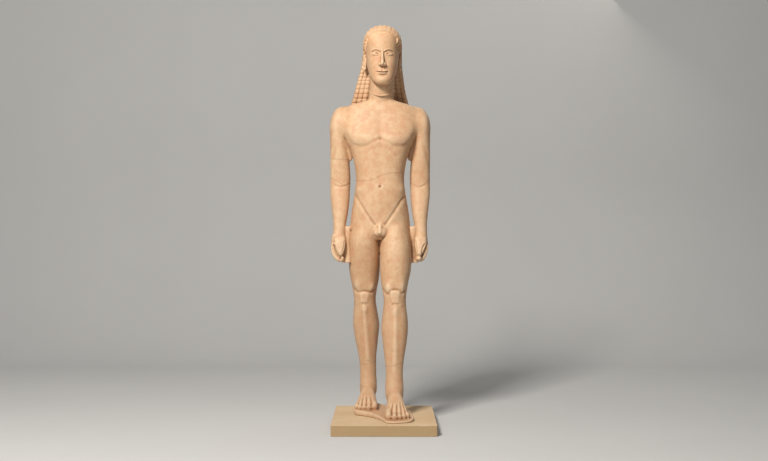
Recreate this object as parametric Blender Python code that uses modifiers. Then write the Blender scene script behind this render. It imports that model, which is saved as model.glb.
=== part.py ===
"""Kouros: a standing marble youth with his left foot forward, carved in one with the thin block under his
feet, on a plain rectangular stone slab.

Metres, +Z up. The origin is the middle of the slab's underside. The figure looks along -Y, its left is +X.
The figure is roughed out as overlapping rounded forms, fused into one skin, then carved; the beaded hair and
the foot block are joined to it last.
"""

import math

import bmesh
import bpy
import numpy as np

# Driving sizes
FIGURE_HEIGHT = 1.946  # from the soles to the crown
FOOT_BLOCK_THICKNESS = 0.024
SLAB_WIDTH = 0.510
SLAB_DEPTH = 0.635
SLAB_THICKNESS = 0.055
SLAB_EDGE = 0.002  # worn edge of the slab
SEAT_GAP = 0.0003  # bed between the slab and the foot block

# The figure's own measures below are millimetres on the real figure: x from its axis, y from the slab's
# middle (less is further forward), h above the soles. They keep their share of its height when that changes.
MM = FIGURE_HEIGHT / 1946
AXIS_X = -20  # the figure's axis stands this far off the slab's middle
SOLE_LEVEL = SLAB_THICKNESS + SEAT_GAP + FOOT_BLOCK_THICKNESS
SUNK = 3  # how far the feet run into the block, so that the two are one body
SKIN_GRAIN = 4  # step of the fused skin
JOIN_SMOOTHING_COUNT = 16  # rounds of smoothing where forms meet
FIGURE_TRIANGLES = 5750

# Body parts as sections one above another: height, middle x, half width, front y, back y, squareness
TORSO = (
    (1590, 4, 34, 72, 182, 2.1),
    (1577, 4, 62, 66, 187, 2.1),
    (1566, 2, 100, 62, 195, 2.2),
    (1556, 0, 138, 60, 206, 2.2),
    (1544, 0, 172, 57, 222, 2.3),
    (1527, 0, 197, 51, 243, 2.4),
    (1497, 0, 206, 43, 260, 2.6),
    (1455, 0, 208, 32, 265, 2.8),
    (1405, 0, 194, 14, 263, 2.9),
    (1375, 0, 177, 4, 259, 2.9),
    (1350, 0, 166, 3, 255, 2.8),
    (1322, 0, 153, 6, 250, 2.6),
    (1290, 0, 143, 5, 243, 2.5),
    (1250, 0, 133, 5, 232, 2.5),
    (1200, 0, 125, 7, 219, 2.5),
    (1160, 0, 123, 8, 211, 2.5),
    (1125, 0, 125, 7, 208, 2.5),
    (1090, 0, 131, 8, 222, 2.5),
    (1050, 0, 138, 8, 246, 2.5),
    (1005, 0, 146, 11, 266, 2.5),
    (965, 0, 151, 13, 268, 2.4),
    (925, 0, 153, 14, 262, 2.4),
    (885, 0, 146, 20, 246, 2.3),
    (858, 0, 120, 40, 226, 2.2),
)
NECK = (
    (1510, 2, 80, 76, 246, 2.1),
    (1540, 3, 72, 66, 238, 2.1),
    (1575, 5, 67, 54, 220, 2.1),
    (1610, 8, 64, 41, 206, 2.1),
    (1645, 10, 62, 32, 202, 2.1),
    (1700, 12, 62, 38, 207, 2.1),
    (1765, 12, 66, 70, 210, 2.1),
)
ARM = (
    (1546, 190, 16, 132, 200, 2.1),
    (1534, 196, 32, 112, 222, 2.2),
    (1512, 200, 43, 92, 238, 2.3),
    (1478, 204, 50, 78, 246, 2.4),
    (1440, 207, 52, 77, 244, 2.4),
    (1400, 210, 48, 85, 233, 2.3),
    (1350, 213, 45, 96, 214, 2.3),
    (1300, 211, 47, 104, 201, 2.3),
    (1250, 208, 50, 109, 199, 2.3),
    (1190, 206, 52, 114, 203, 2.3),
    (1150, 206, 52, 115, 207, 2.3),
    (1120, 207, 51, 110, 203, 2.3),
    (1085, 207, 50, 101, 195, 2.3),
    (1040, 206, 46, 91, 185, 2.3),
    (990, 206, 40, 84, 170, 2.3),
    (940, 208, 33, 79, 155, 2.3),
    (900, 210, 31, 73, 146, 2.3),
    (870, 210, 31, 66, 146, 2.4),
)
PALM = (
    (885, 210, 31, 70, 144, 2.3),
    (862, 210, 32, 62, 147, 2.5),
    (835, 209, 33, 56, 148, 2.6),
    (805, 206, 30, 54, 146, 2.6),
    (780, 201, 26, 56, 138, 2.5),
    (760, 194, 20, 60, 124, 2.4),
)
# The stone left standing between arm and trunk in the armpit, and beside the fist
WEB = (
    (1370, 176, 24, 124, 196, 2.1),
    (1320, 167, 22, 138, 190, 2.1),
    (1280, 157, 17, 148, 186, 2.1),
    (1252, 152, 8, 158, 180, 2.1),
)
BRIDGE = (
    (926, 165, 12, 94, 130, 3.5),
    (880, 168, 16, 90, 132, 3.5),
    (800, 171, 22, 84, 134, 3.5),
    (740, 173, 23, 74, 122, 3.5),
)
FINGER_RADII = (13.2, 12.2)  # at the knuckle and at the tip
FINGER_FRONT = 71  # y of the first finger's middle
FINGER_SPACING = 20.5
FINGER_RISE = 10  # how much higher each finger's curl is than the one before it
FIST_REACH = (231, 239)  # how far out the left and the right fist stand
THUMB_LINE = (
    (207, 92, 886),
    (208, 74, 862),
    (207.5, 58, 834),
    (206, 46, 808),
    (205.5, 39, 788),
    (205, 38, 782),
)
THUMB_PLACES = (0, 0.04, 0.25, 0.55, 0.85, 0.96, 1)  # shares of its length
THUMB_RADII = (8, 24, 26, 20, 12, 9, 3)  # and its radius there
THUMB_FLATNESS = 0.62
RIGHT_LEG = (
    (935, -74, 66, 26, 254, 2.2),
    (865, -80, 78, 18, 247, 2.2),
    (790, -82, 80, 34, 251, 2.2),
    (710, -81, 79, 58, 253, 2.2),
    (650, -79, 72, 76, 249, 2.2),
    (600, -79, 62, 90, 239, 2.2),
    (550, -79, 56, 98, 231, 2.2),
    (510, -77, 59, 107, 234, 2.2),
    (460, -75, 65, 117, 247, 2.2),
    (410, -72, 68, 126, 254, 2.1),
    (350, -71, 61, 137, 253, 2.1),
    (300, -68, 53, 144, 249, 2.1),
    (250, -66, 46, 150, 244, 2.1),
    (200, -63, 43, 155, 239, 2.1),
    (150, -62, 43, 153, 237, 2.1),
    (105, -61, 45, 142, 239, 2.1),
    (60, -61, 42, 132, 241, 2.1),
)
LEFT_LEG = (
    (935, 74, 66, 16, 250, 2.2),
    (865, 78, 78, -8, 232, 2.2),
    (790, 80, 80, -27, 200, 2.2),
    (710, 79, 79, -32, 166, 2.2),
    (650, 75, 71, -31, 143, 2.2),
    (600, 74, 62, -31, 121, 2.2),
    (550, 75, 56, -32, 101, 2.2),
    (510, 75, 59, -33, 97, 2.2),
    (460, 75, 65, -36, 100, 2.2),
    (410, 74, 68, -39, 96, 2.1),
    (350, 74, 62, -42, 84, 2.1),
    (300, 73, 55, -44, 68, 2.1),
    (250, 72, 48, -47, 50, 2.1),
    (200, 72, 44, -53, 38, 2.1),
    (150, 72, 45, -63, 29, 2.1),
    (105, 72, 47, -78, 25, 2.1),
    (60, 72, 42, -86, 22, 2.1),
)
HEAD = (
    (1642, 12, 22, -6, 22, 2.2),
    (1648, 12, 34, -14, 46, 2.3),
    (1660, 12, 47, -19, 78, 2.3),
    (1680, 12, 59, -20, 110, 2.3),
    (1705, 12, 69, -20, 150, 2.3),
    (1735, 12, 77, -20, 180, 2.3),
    (1770, 12, 82, -20, 200, 2.3),
    (1805, 12, 84, -24, 208, 2.3),
    (1840, 12, 84, -23, 208, 2.4),
    (1870, 12, 82, -18, 203, 2.4),
    (1895, 12, 76, -8, 192, 2.4),
    (1915, 12, 66, 8, 174, 2.3),
    (1930, 12, 50, 34, 148, 2.2),
)
NOSE = (
    (1816, 12, 8, -27, 0, 2.0),
    (1792, 12, 9, -33, 0, 2.0),
    (1766, 12, 12, -43, 0, 2.0),
    (1746, 12, 17, -51, 0, 2.0),
    (1735, 12, 18, -49, 0, 2.0),
    (1728, 12, 14, -38, 0, 2.0),
)
EAR_PLACE = (104, 141, 1770)
EAR_REACH = (9, 24, 46)

# A foot as sections from heel to toes: distance from the heel, half width, top
FOOT_LENGTH = 267
FOOT = (
    (0, 16, 36),
    (5, 25, 58),
    (20, 33, 88),
    (50, 37, 110),
    (86, 39, 111),
    (120, 43, 95),
    (155, 49, 73),
    (190, 54, 54),
    (214, 55, 43),
    (230, 50, 31),
)
# Toes from the big one outwards: how far out from the foot's line, where the tip is, radius
TOES = (
    (-40, 262, 17.5),
    (-13, 267, 14),
    (10, 259, 13.5),
    (31, 248, 12.5),
    (49, 234, 11.5),
)
# Each foot: middle x at the heel, middle x at the toes, heel y, side (1 is the figure's left)
LEFT_FOOT = (71, 84, 20, 1)
RIGHT_FOOT = (-61, -70, 244, -1)
TOE_DROP = 14  # how much lower the left toes rest than the heels, the block thinning with them
DROP_REACH = (-20, -250)  # y where that begins, and where it has come to that much
INSTEP_HEIGHT = 95  # and the height above which nothing is lowered
# The foot block's outline in plan, anticlockwise from the corner inside the left big toe
FOOT_BLOCK = (
    (30, -258), (64, -270), (112, -262), (150, -236), (165, -185), (160, -95), (150, 0), (122, 48),
    (66, 72), (26, 126), (2, 200), (-12, 256), (-50, 275), (-96, 268), (-120, 238), (-128, 150),
    (-133, 60), (-129, 10), (-116, -14), (-84, -42), (-50, -78), (-20, -126), (6, -188),
)  # fmt: skip

# The hair: strands run back over the crown about a line through the ears, then down the back
STRANDS = 14
CROWN_BEADS = 16
EAR_LINE = (94, 1798)  # y and h of that line
CROWN_REACH = (120, 125, 146)  # from it forward, back and up to the hair
CROWN_BOXINESS = 3.3
CROWN_HALF_WIDTH = 95
HAIRLINE = math.radians(49)  # angle of the hairline over the forehead
LOWEST_STRAND = math.radians(86)  # how far round from the middle one the lowest strand is at each side
BEAD_RELIEF = 6
BAND_TURN = math.radians(163.5)  # where the band lies
BAND_HEIGHT = 28
BAND_RELIEF = 6
BAND_STEP = 0.02  # the angle over which the hair rises to the band
# Down the back: height above the ear line, middle x, half width, how far behind the ear line the back of it
# is, how far the edges stand forward of the back
FALL = (
    (8, 9, 98, 125, 72),
    (-16, 9, 101, 124, 54),
    (-58, 7, 107, 123, 45),
    (-98, 4, 115, 127, 44),
    (-135, 1, 123, 132, 44),
    (-182, -1, 134, 142, 44),
    (-226, -2, 148, 154, 38),
    (-260, -1, 159, 163, 32),
    (-288, 0, 166, 170, 28),
)
FALL_BEADS = 14
FRONT_STRANDS = (0.83, 0.66, 0.5)  # where the strands beside the neck part, as shares of the half width
FALL_BOW = (math.radians(68), math.radians(35))  # half the arc the hair's section spans, at its top and foot
TASSEL_SHARE = 0.86  # share of the fall's length where the beads end and the tassels begin
TASSEL_NOTCH = 12
BAND_END_STRAND = 3  # the band's hanging ends take the place of this strand, counted from each edge
BAND_END_BEADS = 7  # and reach down as far as this many beads
NECKBAND = (8, 125, 64, 84)  # middle x, middle y, half width, half depth
NECKBAND_HEIGHT = 1609
NECKBAND_DROP = 19  # how much lower it hangs in front
NECKBAND_RADIUS = 4

# Carved lines of the trunk as x and h: breast, groin, shoulder blade, spine, cleft, hip, each for one side
BREAST_LINE = ((160, 1378), (146, 1352), (122, 1335), (88, 1331), (54, 1340), (26, 1358), (0, 1371))
GROIN_LINE = ((146, 1108), (130, 1086), (104, 1048), (74, 1002), (46, 962), (26, 936))
BLADE_LINE = ((168, 1400), (140, 1372), (108, 1366), (78, 1384), (62, 1420), (58, 1462))
SPINE_LINE = ((0, 1500), (0, 1400), (0, 1300), (0, 1200), (0, 1046))
CLEFT_LINE = ((0, 1016), (0, 980), (0, 940), (0, 890), (0, 850))
COLLAR_LINE = ((26, 1532), (70, 1530), (120, 1526), (160, 1512))


def along(table, rows):
    """The table's columns read at evenly spaced steps of a Catmull-Rom curve through its lines."""
    points = np.array(table, float)
    padded = np.vstack([2 * points[0] - points[1], points, 2 * points[-1] - points[-2]])
    place = np.linspace(0, len(points) - 1, rows)
    first = np.minimum(place.astype(int), len(points) - 2)
    t = (place - first)[:, None]
    p0, p1, p2, p3 = (padded[first + i] for i in range(4))
    bend = (2 * p0 - 5 * p1 + 4 * p2 - p3) * t**2 + (3 * p1 - p0 - 3 * p2 + p3) * t**3
    return 0.5 * (2 * p1 + (p2 - p0) * t + bend)


def rounded(angle, squareness):
    """Sine and cosine of a superellipse: 2 gives an ellipse, more gives a squarer section."""
    sine, cosine = np.sin(angle), np.cos(angle)
    power = 2 / squareness
    return np.sign(sine) * np.abs(sine) ** power, np.sign(cosine) * np.abs(cosine) ** power


def stacked(table, rows, columns, side=1):
    """A body part's surface: level rounded sections through the table, as rows by columns by (x, y, h)."""
    height, middle, half, front, back, square = along(table, rows).T[:, :, None]
    angle = np.linspace(0, 2 * np.pi, columns, endpoint=False)[None, :]
    across, ahead = rounded(angle, square)
    x = middle + half * across
    y = (front + back) / 2 - (back - front) / 2 * ahead
    points = np.stack([x, y, height + 0 * angle], axis=-1)
    return points * (side, 1, 1)


def tube(path, radii, sides=10, flat=1.0):
    """Round sections along a path, flattened across it by flat, as rows by columns by (x, y, h)."""
    path = np.array(path, float)
    ahead = np.gradient(path, axis=0)
    ahead /= np.linalg.norm(ahead, axis=1)[:, None]
    across = np.cross(ahead, (0.0, 1.0, 0.0))
    across /= np.linalg.norm(across, axis=1)[:, None]
    up = np.cross(across, ahead)
    angle = np.linspace(0, 2 * np.pi, sides, endpoint=False)
    radii = np.broadcast_to(np.array(radii, float), len(path))
    ring = across[:, None] * np.cos(angle)[:, None] + up[:, None] * (flat * np.sin(angle))[:, None]
    return path[:, None] + ring * radii[:, None, None]


def finger(path, start, end):
    """A tube whose radius goes from start to end, with rounded ends."""
    path = along(path, 13)
    step = np.linspace(0, 1, 13)
    rounding = np.sqrt(np.clip(1 - (2 * step - 1) ** 6, 0.08, 1))
    return tube(path, rounding * (start + (end - start) * step))


def egg(centre, reach, rows=9, columns=14):
    """A ball stretched to reach along x, y and h, cut flat just short of its poles."""
    lift = np.linspace(0.08, 0.92, rows)[:, None] * np.pi
    angle = np.linspace(0, 2 * np.pi, columns, endpoint=False)[None, :]
    x, y = np.sin(lift) * np.sin(angle), -np.sin(lift) * np.cos(angle)
    ball = np.stack([x, y, np.cos(lift) + 0 * angle], axis=-1)
    return np.array(centre, float) + ball * np.array(reach, float)


def swell(points, centre, reach, lift):
    """Moves the surface by lift, fading like a bell curve with the distance from centre over reach."""
    away = (points - np.array(centre, float)) / np.array(reach, float)
    return points + np.exp(-(away**2).sum(-1))[..., None] * np.array(lift, float)


def swell_both(points, centre, reach, lift):
    """The same swelling on the figure's left and right."""
    mirror = np.array((-1, 1, 1))
    points = swell(points, centre, reach, lift)
    return swell(points, np.array(centre) * mirror, reach, np.array(lift) * mirror)


def away_from(points, line, axes):
    """Each point's distance to a line of straight stretches, both seen along the third axis."""
    flat = points[:, axes]
    line = along(line, 4 * len(line))
    nearest = np.full(len(flat), np.inf)
    for start, end in zip(line[:-1], line[1:]):
        stretch = end - start
        share = np.clip(((flat - start) @ stretch) / (stretch @ stretch), 0, 1)
        nearest = np.minimum(nearest, np.linalg.norm(flat - start - share[:, None] * stretch, axis=1))
    return nearest


def carve(points, facing, line, width, depth, side=1, back=False):
    """Sinks a furrow along a line of (x, h) into the front or the back of the figure."""
    line = np.array(line, float) * (side, 1)
    outward = facing[:, 1] * (1 if back else -1)
    share = np.exp(-((away_from(points, line, [0, 2]) / width) ** 2)) * np.clip(outward * 2, 0, 1)
    return points - facing * (share * depth)[:, None]


def loft(name, points, collection, ring=False):
    """A closed mesh object from rows of sections, with a flat cap at each end or bent round into a ring."""
    rows, columns = points.shape[:2]
    index = np.arange(rows * columns).reshape(rows, columns)
    if ring:
        index = np.vstack([index, index[:1]])
    beside = np.roll(index, -1, axis=1)
    sides = np.stack([index[:-1], beside[:-1], beside[1:], index[1:]], axis=-1).reshape(-1, 4)
    caps = [] if ring else [index[0, ::-1].tolist(), index[-1].tolist()]
    mesh = bpy.data.meshes.new(name)
    mesh.from_pydata(placed(points).tolist(), [], [*sides.tolist(), *caps])
    body = bpy.data.objects.new(name, mesh)
    collection.objects.link(body)
    if inside_out(mesh):
        mesh.flip_normals()
    return body


def placed(points):
    """Points of the figure in metres from the slab's middle."""
    return points.reshape(-1, 3) * MM + (AXIS_X * MM, 0, SOLE_LEVEL)


def measured(mesh):
    """A mesh's points in the figure's millimetres."""
    points = np.empty(len(mesh.vertices) * 3)
    mesh.vertices.foreach_get("co", points)
    return (points.reshape(-1, 3) - (AXIS_X * MM, 0, SOLE_LEVEL)) / MM


def inside_out(mesh):
    """Whether the volume inside a closed mesh comes out negative."""
    mesh.calc_loop_triangles()
    faces = [triangle.vertices for triangle in mesh.loop_triangles]
    corners = np.array([[mesh.vertices[i].co for i in face] for face in faces])
    return np.einsum("ij,ij->", corners[:, 0], np.cross(corners[:, 1], corners[:, 2])) < 0


def rough_out_trunk(shapes):
    loft("torso", stacked(TORSO, 60, 64), shapes)
    loft("neck", stacked(NECK, 16, 32), shapes)
    for side in (1, -1):
        loft(f"scrotum_{side}", egg((side * 13, 14, 894), (17, 17, 22)), shapes)
    loft("member", finger([(0, 16, 936), (0, 5, 918), (0, 0, 898), (0, -2, 884)], 10, 8.5), shapes)


def rough_out_arm(name, side, shapes):
    loft(f"{name}_arm", stacked(ARM, 60, 32, side), shapes)
    loft(f"{name}_palm", stacked(PALM, 16, 28, side), shapes)
    loft(f"{name}_web", stacked(WEB, 14, 20, side), shapes)
    loft(f"{name}_bridge", stacked(BRIDGE, 8, 24, side), shapes)
    out = FIST_REACH[side < 0]
    for number in range(4):
        y = FINGER_FRONT + FINGER_SPACING * number
        rise = FINGER_RISE * number
        curl = [(out - 13, y + 6, 864), (out - 3, y + 3, 838), (out, y, 806 + rise * 0.6),
                (out - 9, y, 776 + rise), (207, y, 755 + rise), (184, y, 762 + rise)]  # fmt: skip
        loft(f"{name}_finger_{number}", finger(np.array(curl) * (side, 1, 1), *FINGER_RADII), shapes)
    thumb = along(np.array(THUMB_LINE) * (side, 1, 1), 25)
    radii = np.interp(np.linspace(0, 1, 25), THUMB_PLACES, THUMB_RADII)
    loft(f"{name}_thumb", tube(thumb, radii, 16, THUMB_FLATNESS), shapes)


def rough_out_foot(name, foot, shapes):
    heel_x, toe_x, heel_y, side = foot
    reach, half, top = along(FOOT, 30).T[:, :, None]
    angle = np.linspace(0, 2 * np.pi, 28, endpoint=False)[None, :]
    across, up = rounded(angle, 2.3)
    middle = heel_x + (toe_x - heel_x) * reach / FOOT_LENGTH
    h = np.maximum(top * 0.4 + top * 0.6 * up, -SUNK)
    loft(name, np.stack([middle + half * across, heel_y - reach + 0 * angle, h], axis=-1), shapes)
    for number, (out, tip, radius) in enumerate(TOES):
        x = toe_x + side * out
        toe = [(x - side * out * 0.16, heel_y - 178, radius * 1.6), (x, heel_y - 215, radius * 1.4),
               (x, heel_y - tip + radius * 0.4, radius * 0.75)]  # fmt: skip
        loft(f"{name}_toe_{number}", finger(toe, radius, radius), shapes)
    for label, out, lift in (("inner", -35, 92), ("outer", 36, 80)):
        loft(f"{name}_{label}_ankle", egg((heel_x + side * out, heel_y - 62, lift), (11, 17, 17)), shapes)


def rough_out_head(shapes):
    middle = HEAD[0][1]
    loft("head", stacked(HEAD, 40, 48), shapes)
    loft("nose", stacked(NOSE, 16, 20), shapes)
    for side in (1, -1):
        loft(f"eye_{side}", egg((middle + side * 35, -8, 1794), (20, 12, 8)), shapes)
        brow = ((8, 1808), (24, 1816), (42, 1817), (60, 1808))
        brow = [(middle + side * x, -25 + 0.005 * x * x, h) for x, h in brow]
        loft(f"brow_{side}", finger(brow, 4, 4), shapes)
        x, y, h = EAR_PLACE
        loft(f"ear_{side}", egg((middle + side * (x - 10), y, h), EAR_REACH), shapes)
        rim = ((-12, 22), (-4, 42), (14, 38), (20, 8), (4, -34))
        rim = [(side * (x - 2) + middle, y + dy, h + dh) for dy, dh in rim]
        loft(f"ear_rim_{side}", finger(rim, 6, 6), shapes)
    for name, h, half in (("upper_lip", 1704.5, 25), ("lower_lip", 1694.5, 22)):
        loft(name, egg((middle, -18, h), (half, 10, 5.5)), shapes)


def fuse(shapes):
    """One skin round all the overlapping shapes: its points in the figure's millimetres, and its mesh."""
    fused = bmesh.new()
    for shape in shapes.objects:
        fused.from_mesh(shape.data)
        shape.hide_render = True
        shape.display_type = "WIRE"
    mesh = bpy.data.meshes.new("fused")
    fused.to_mesh(mesh)
    fused.free()
    body = bpy.data.objects.new("fused", mesh)
    bpy.context.scene.collection.objects.link(body)
    skin = body.modifiers.new("skin", "REMESH")
    skin.mode = "VOXEL"
    skin.voxel_size = SKIN_GRAIN * MM
    mesh = bpy.data.meshes.new_from_object(body.evaluated_get(bpy.context.evaluated_depsgraph_get()))
    bpy.data.objects.remove(body)
    return mesh


def smoothed(points, edges, weight, rounds):
    """Draws each point towards the mean of its neighbours, by its weight."""
    ends = np.concatenate([edges, edges[:, ::-1]])
    count = np.bincount(ends[:, 0], minlength=len(points))[:, None]
    for _ in range(rounds):
        pull = [np.bincount(ends[:, 0], points[ends[:, 1], i], len(points)) for i in range(3)]
        points = points + weight[:, None] * (np.stack(pull, axis=1) / count - points)
    return points


def bell(points, centre, reach):
    away = (points - np.array(centre, float)) / np.array(reach, float)
    return np.exp(-(away**2).sum(-1))


def join_weight(points):
    """How strongly the skin is smoothed: most where limbs meet the trunk, little on hands and feet."""
    weight = np.full(len(points), 0.15)
    for side in (1, -1):
        weight += 0.65 * bell(points, (side * 170, 150, 1450), (50, 120, 110))
        weight += 0.6 * bell(points, (side * 90, 30, 930), (80, 60, 60))
        weight += 0.6 * bell(points, (side * 80, 230, 900), (70, 70, 60))
    weight += 0.6 * bell(points, (0, 120, 1565), (110, 90, 40))
    return np.minimum(weight, 0.9)


def carve_trunk(points, facing):
    points = swell_both(points, (76, 275, 985), (56, 70, 66), (2, 15, 0))  # buttock
    points = swell_both(points, (92, 0, 1385), (64, 60, 36), (0, -4, 0))  # breast
    points = swell_both(points, (118, 265, 1425), (46, 50, 50), (0, 8, 0))  # shoulder blade
    points = swell_both(points, (46, 215, 1150), (26, 50, 110), (0, 6, 0))  # long muscle of the back
    points = swell_both(points, (122, 20, 1118), (34, 60, 26), (5, -8, 0))  # roll over the hip bone
    points = swell(points, (0, 0, 1050), (70, 50, 60), (0, -4, 0))  # belly
    for side in (1, -1):
        points = carve(points, facing, BREAST_LINE, 9, 6, side)
        points = carve(points, facing, GROIN_LINE, 9, 7, side)
        points = carve(points, facing, BLADE_LINE, 10, 5, side, back=True)
        points = carve(points, facing, COLLAR_LINE, 8, 4, side)
    points = carve(points, facing, SPINE_LINE, 13, 8, back=True)
    points = carve(points, facing, CLEFT_LINE, 13, 20, back=True)
    return swell(points, (0, 5, 1125), (8, 30, 8), (0, 9, 0))  # navel


def carve_leg(points, leg, side):
    """Kneecap, the muscles over it, the shin's edge and the hollow behind the knee."""
    x, front, back = leg[6][1], leg[6][3], leg[6][4]
    points = swell(points, (x, front, 562), (25, 36, 30), (0, -5, 0))
    points = swell(points, (x - side * 36, front + 14, 606), (20, 40, 34), (-side * 2, -8, 0))
    points = swell(points, (x + side * 38, front + 14, 620), (20, 40, 40), (side * 2, -7, 0))
    points = swell(points, (x, front, 505), (14, 36, 20), (0, -5, 0))
    points = swell(points, (x, back, 560), (20, 36, 50), (0, -7, 0))
    return swell(points, (x - side * 4, leg[10][3], 330), (9, 36, 140), (0, -6, 0))


def carve_face(points):
    middle = HEAD[0][1]
    for side in (1, -1):
        points = swell(points, (middle + side * 36, -20, 1782), (24, 30, 8), (0, 5, 0))  # under the eye
        points = swell(points, (middle + side * 40, -20, 1805), (24, 30, 5), (0, 5, 0))  # under the brow
        points = swell(points, (middle + side * 46, 0, 1750), (26, 40, 24), (side * 2, -4, 0))  # cheek
        points = swell(points, (middle + side * 108, 142, 1776), (14, 10, 20), (-side * 8, 0, 0))  # ear
    points = swell(points, (middle, -20, 1664), (22, 30, 14), (0, -6, 0))  # chin
    return swell(points, (middle, -20, 1699.5), (24, 30, 2.5), (0, 4, 0))  # mouth


def crown_row(turn, lift=0.0):
    """A row across the crown, where it has turned so far back over the head about the line of the ears."""
    forward, back, up = CROWN_REACH
    fine = np.linspace(0, LOWEST_STRAND, 200)
    steps = np.hypot(np.diff(CROWN_HALF_WIDTH * np.sin(fine)), np.diff(up * np.sqrt(np.cos(fine))))
    length = np.concatenate([[0], np.cumsum(steps)])
    place = np.linspace(-1, 1, STRANDS + 1)
    strand = np.sign(place) * np.interp(np.abs(place) * length[-1], length, fine)
    flat, tall = abs(math.cos(turn)) / (forward if turn < math.pi / 2 else back), abs(math.sin(turn)) / up
    reach = (flat**CROWN_BOXINESS + tall**CROWN_BOXINESS) ** (-1 / CROWN_BOXINESS) + lift
    out = reach * np.sqrt(np.cos(strand))
    x = HEAD[0][1] + (CROWN_HALF_WIDTH + lift) * np.sin(strand)
    row = np.stack([x, EAR_LINE[0] - out * math.cos(turn), EAR_LINE[1] + out * math.sin(turn)], axis=-1)
    return with_front(row)


def with_front(row):
    """Adds the row's way back along the front of the hair, from its left edge to its right."""
    share = np.array(FRONT_STRANDS)
    share = np.concatenate([share, -share[::-1]])[:, None]
    return np.vstack([row, (row[0] + row[-1]) / 2 + (row[-1] - row[0]) / 2 * share])


def fall_row(share, lift=0.0):
    """A row across the hair on the back at a share of its length, from its right edge to its left."""
    height, middle, half, back, forward = along(FALL, 201)[round(share * 200)]
    bow = FALL_BOW[0] + (FALL_BOW[1] - FALL_BOW[0]) * share
    place = np.linspace(-1, 1, STRANDS + 1) * bow
    x = middle + (half + lift) * np.sin(place) / math.sin(bow)
    y = EAR_LINE[0] + back + lift - forward * (1 - np.cos(place)) / (1 - math.cos(bow))
    return with_front(np.stack([x, y, np.full(STRANDS + 1, EAR_LINE[1] + height)], axis=-1))


def make_hair(collection):
    """One closed sheet of hair: each cell of its grid stands up as a bead, but for a smooth band behind."""
    half_band = BAND_HEIGHT / 2 / CROWN_REACH[1]
    crown = [crown_row(turn) for turn in np.linspace(HAIRLINE, BAND_TURN - half_band, CROWN_BEADS + 1)]
    band_edges = (BAND_TURN - half_band + BAND_STEP, BAND_TURN + half_band)
    band = [crown_row(turn, BAND_RELIEF) for turn in band_edges]
    fall = [fall_row(share) for share in (*np.linspace(0, TASSEL_SHARE, FALL_BEADS + 1), 1.0)]
    body = loft("hair", np.array(crown + band + fall), collection)

    columns = STRANDS + 1 + 2 * len(FRONT_STRANDS)
    first_fall_row = len(crown) + len(band)
    hair = bmesh.new()
    hair.from_mesh(body.data)
    hair.verts.ensure_lookup_table()
    hair.faces.ensure_lookup_table()
    beads = []
    for row in [*range(CROWN_BEADS), *range(first_fall_row, first_fall_row + FALL_BEADS + 1)]:
        for column in range(columns):
            in_band_end = min(column, STRANDS - 1 - column) == BAND_END_STRAND
            in_band_end = in_band_end and first_fall_row <= row < first_fall_row + BAND_END_BEADS
            behind_neck = column == STRANDS + len(FRONT_STRANDS)
            on_front = column >= STRANDS and row < first_fall_row
            if not (in_band_end or behind_neck or on_front):
                beads.append(hair.faces[row * columns + column])
    foot = max(hair.faces, key=lambda face: len(face.verts) - face.calc_center_median().z)
    hem = hair.verts[-columns : STRANDS + 1 - columns]
    for vertex in hem[1:-1]:
        vertex.co.z += TASSEL_NOTCH * MM
    edges = [hair.edges.get((one, other)) for one, other in zip(hem[:-1], hem[1:])]
    tips = bmesh.ops.subdivide_edges(hair, edges=edges, cuts=1)["geom_inner"]
    for tip in tips:
        if isinstance(tip, bmesh.types.BMVert):
            tip.co.z = SOLE_LEVEL + (EAR_LINE[1] + FALL[-1][0] - TASSEL_NOTCH * 0.5) * MM
    bmesh.ops.poke(hair, faces=[foot])
    bmesh.ops.poke(hair, faces=beads, offset=BEAD_RELIEF * MM)
    hair.to_mesh(body.data)
    hair.free()


def make_neckband(collection):
    x, y, half, deep = NECKBAND
    angle = np.linspace(0, 2 * np.pi, 24, endpoint=False)
    height = NECKBAND_HEIGHT - NECKBAND_DROP * np.cos(angle)
    middle = np.stack([x + half * np.sin(angle), y - deep * np.cos(angle), height], axis=-1)
    outward = np.stack([np.sin(angle), -np.cos(angle), 0 * angle], axis=-1)
    turn = np.linspace(0, 2 * np.pi, 6, endpoint=False)[None, :, None]
    section = outward[:, None] * np.cos(turn) + np.array((0, 0, 1.0)) * np.sin(turn)
    loft("neckband", middle[:, None] + NECKBAND_RADIUS * section, collection, ring=True)


def settled(points):
    """Lowers the left foot towards its toes, most at the sole, with the top of the block under it."""
    start, full = DROP_REACH
    ahead = np.maximum((points[..., 1] - start) / (full - start), 0)
    low = np.clip((INSTEP_HEIGHT - points[..., 2]) / INSTEP_HEIGHT, 0, 1)
    above_bed = np.clip(1 + points[..., 2] * MM / FOOT_BLOCK_THICKNESS, 0, 1)
    drop = TOE_DROP * ahead * low**2 * (3 - 2 * low) * above_bed
    return points - np.stack([0 * drop, 0 * drop, drop], axis=-1)


def make_foot_block(collection):
    outline = along(FOOT_BLOCK + FOOT_BLOCK[:1], 3 * len(FOOT_BLOCK) + 1)[:-1]
    thickness = FOOT_BLOCK_THICKNESS / MM
    spread = ((-thickness, 1.0), (-thickness * 0.4, 1.0), (0, 0.975))
    middle = outline.mean(axis=0)
    rows = [np.column_stack([middle + (outline - middle) * s, np.full(len(outline), h)]) for h, s in spread]
    mesh = loft("foot_block", np.array(rows), collection).data
    block = bmesh.new()
    block.from_mesh(mesh)
    parts = [*block.verts, *block.edges, *block.faces]
    bend = (0, DROP_REACH[0] * MM, 0)  # the top is flat on both sides of this line
    bmesh.ops.bisect_plane(block, geom=parts, plane_co=bend, plane_no=(0, 1, 0))
    block.to_mesh(mesh)
    block.free()
    mesh.vertices.foreach_set("co", placed(settled(measured(mesh))).ravel())


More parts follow.
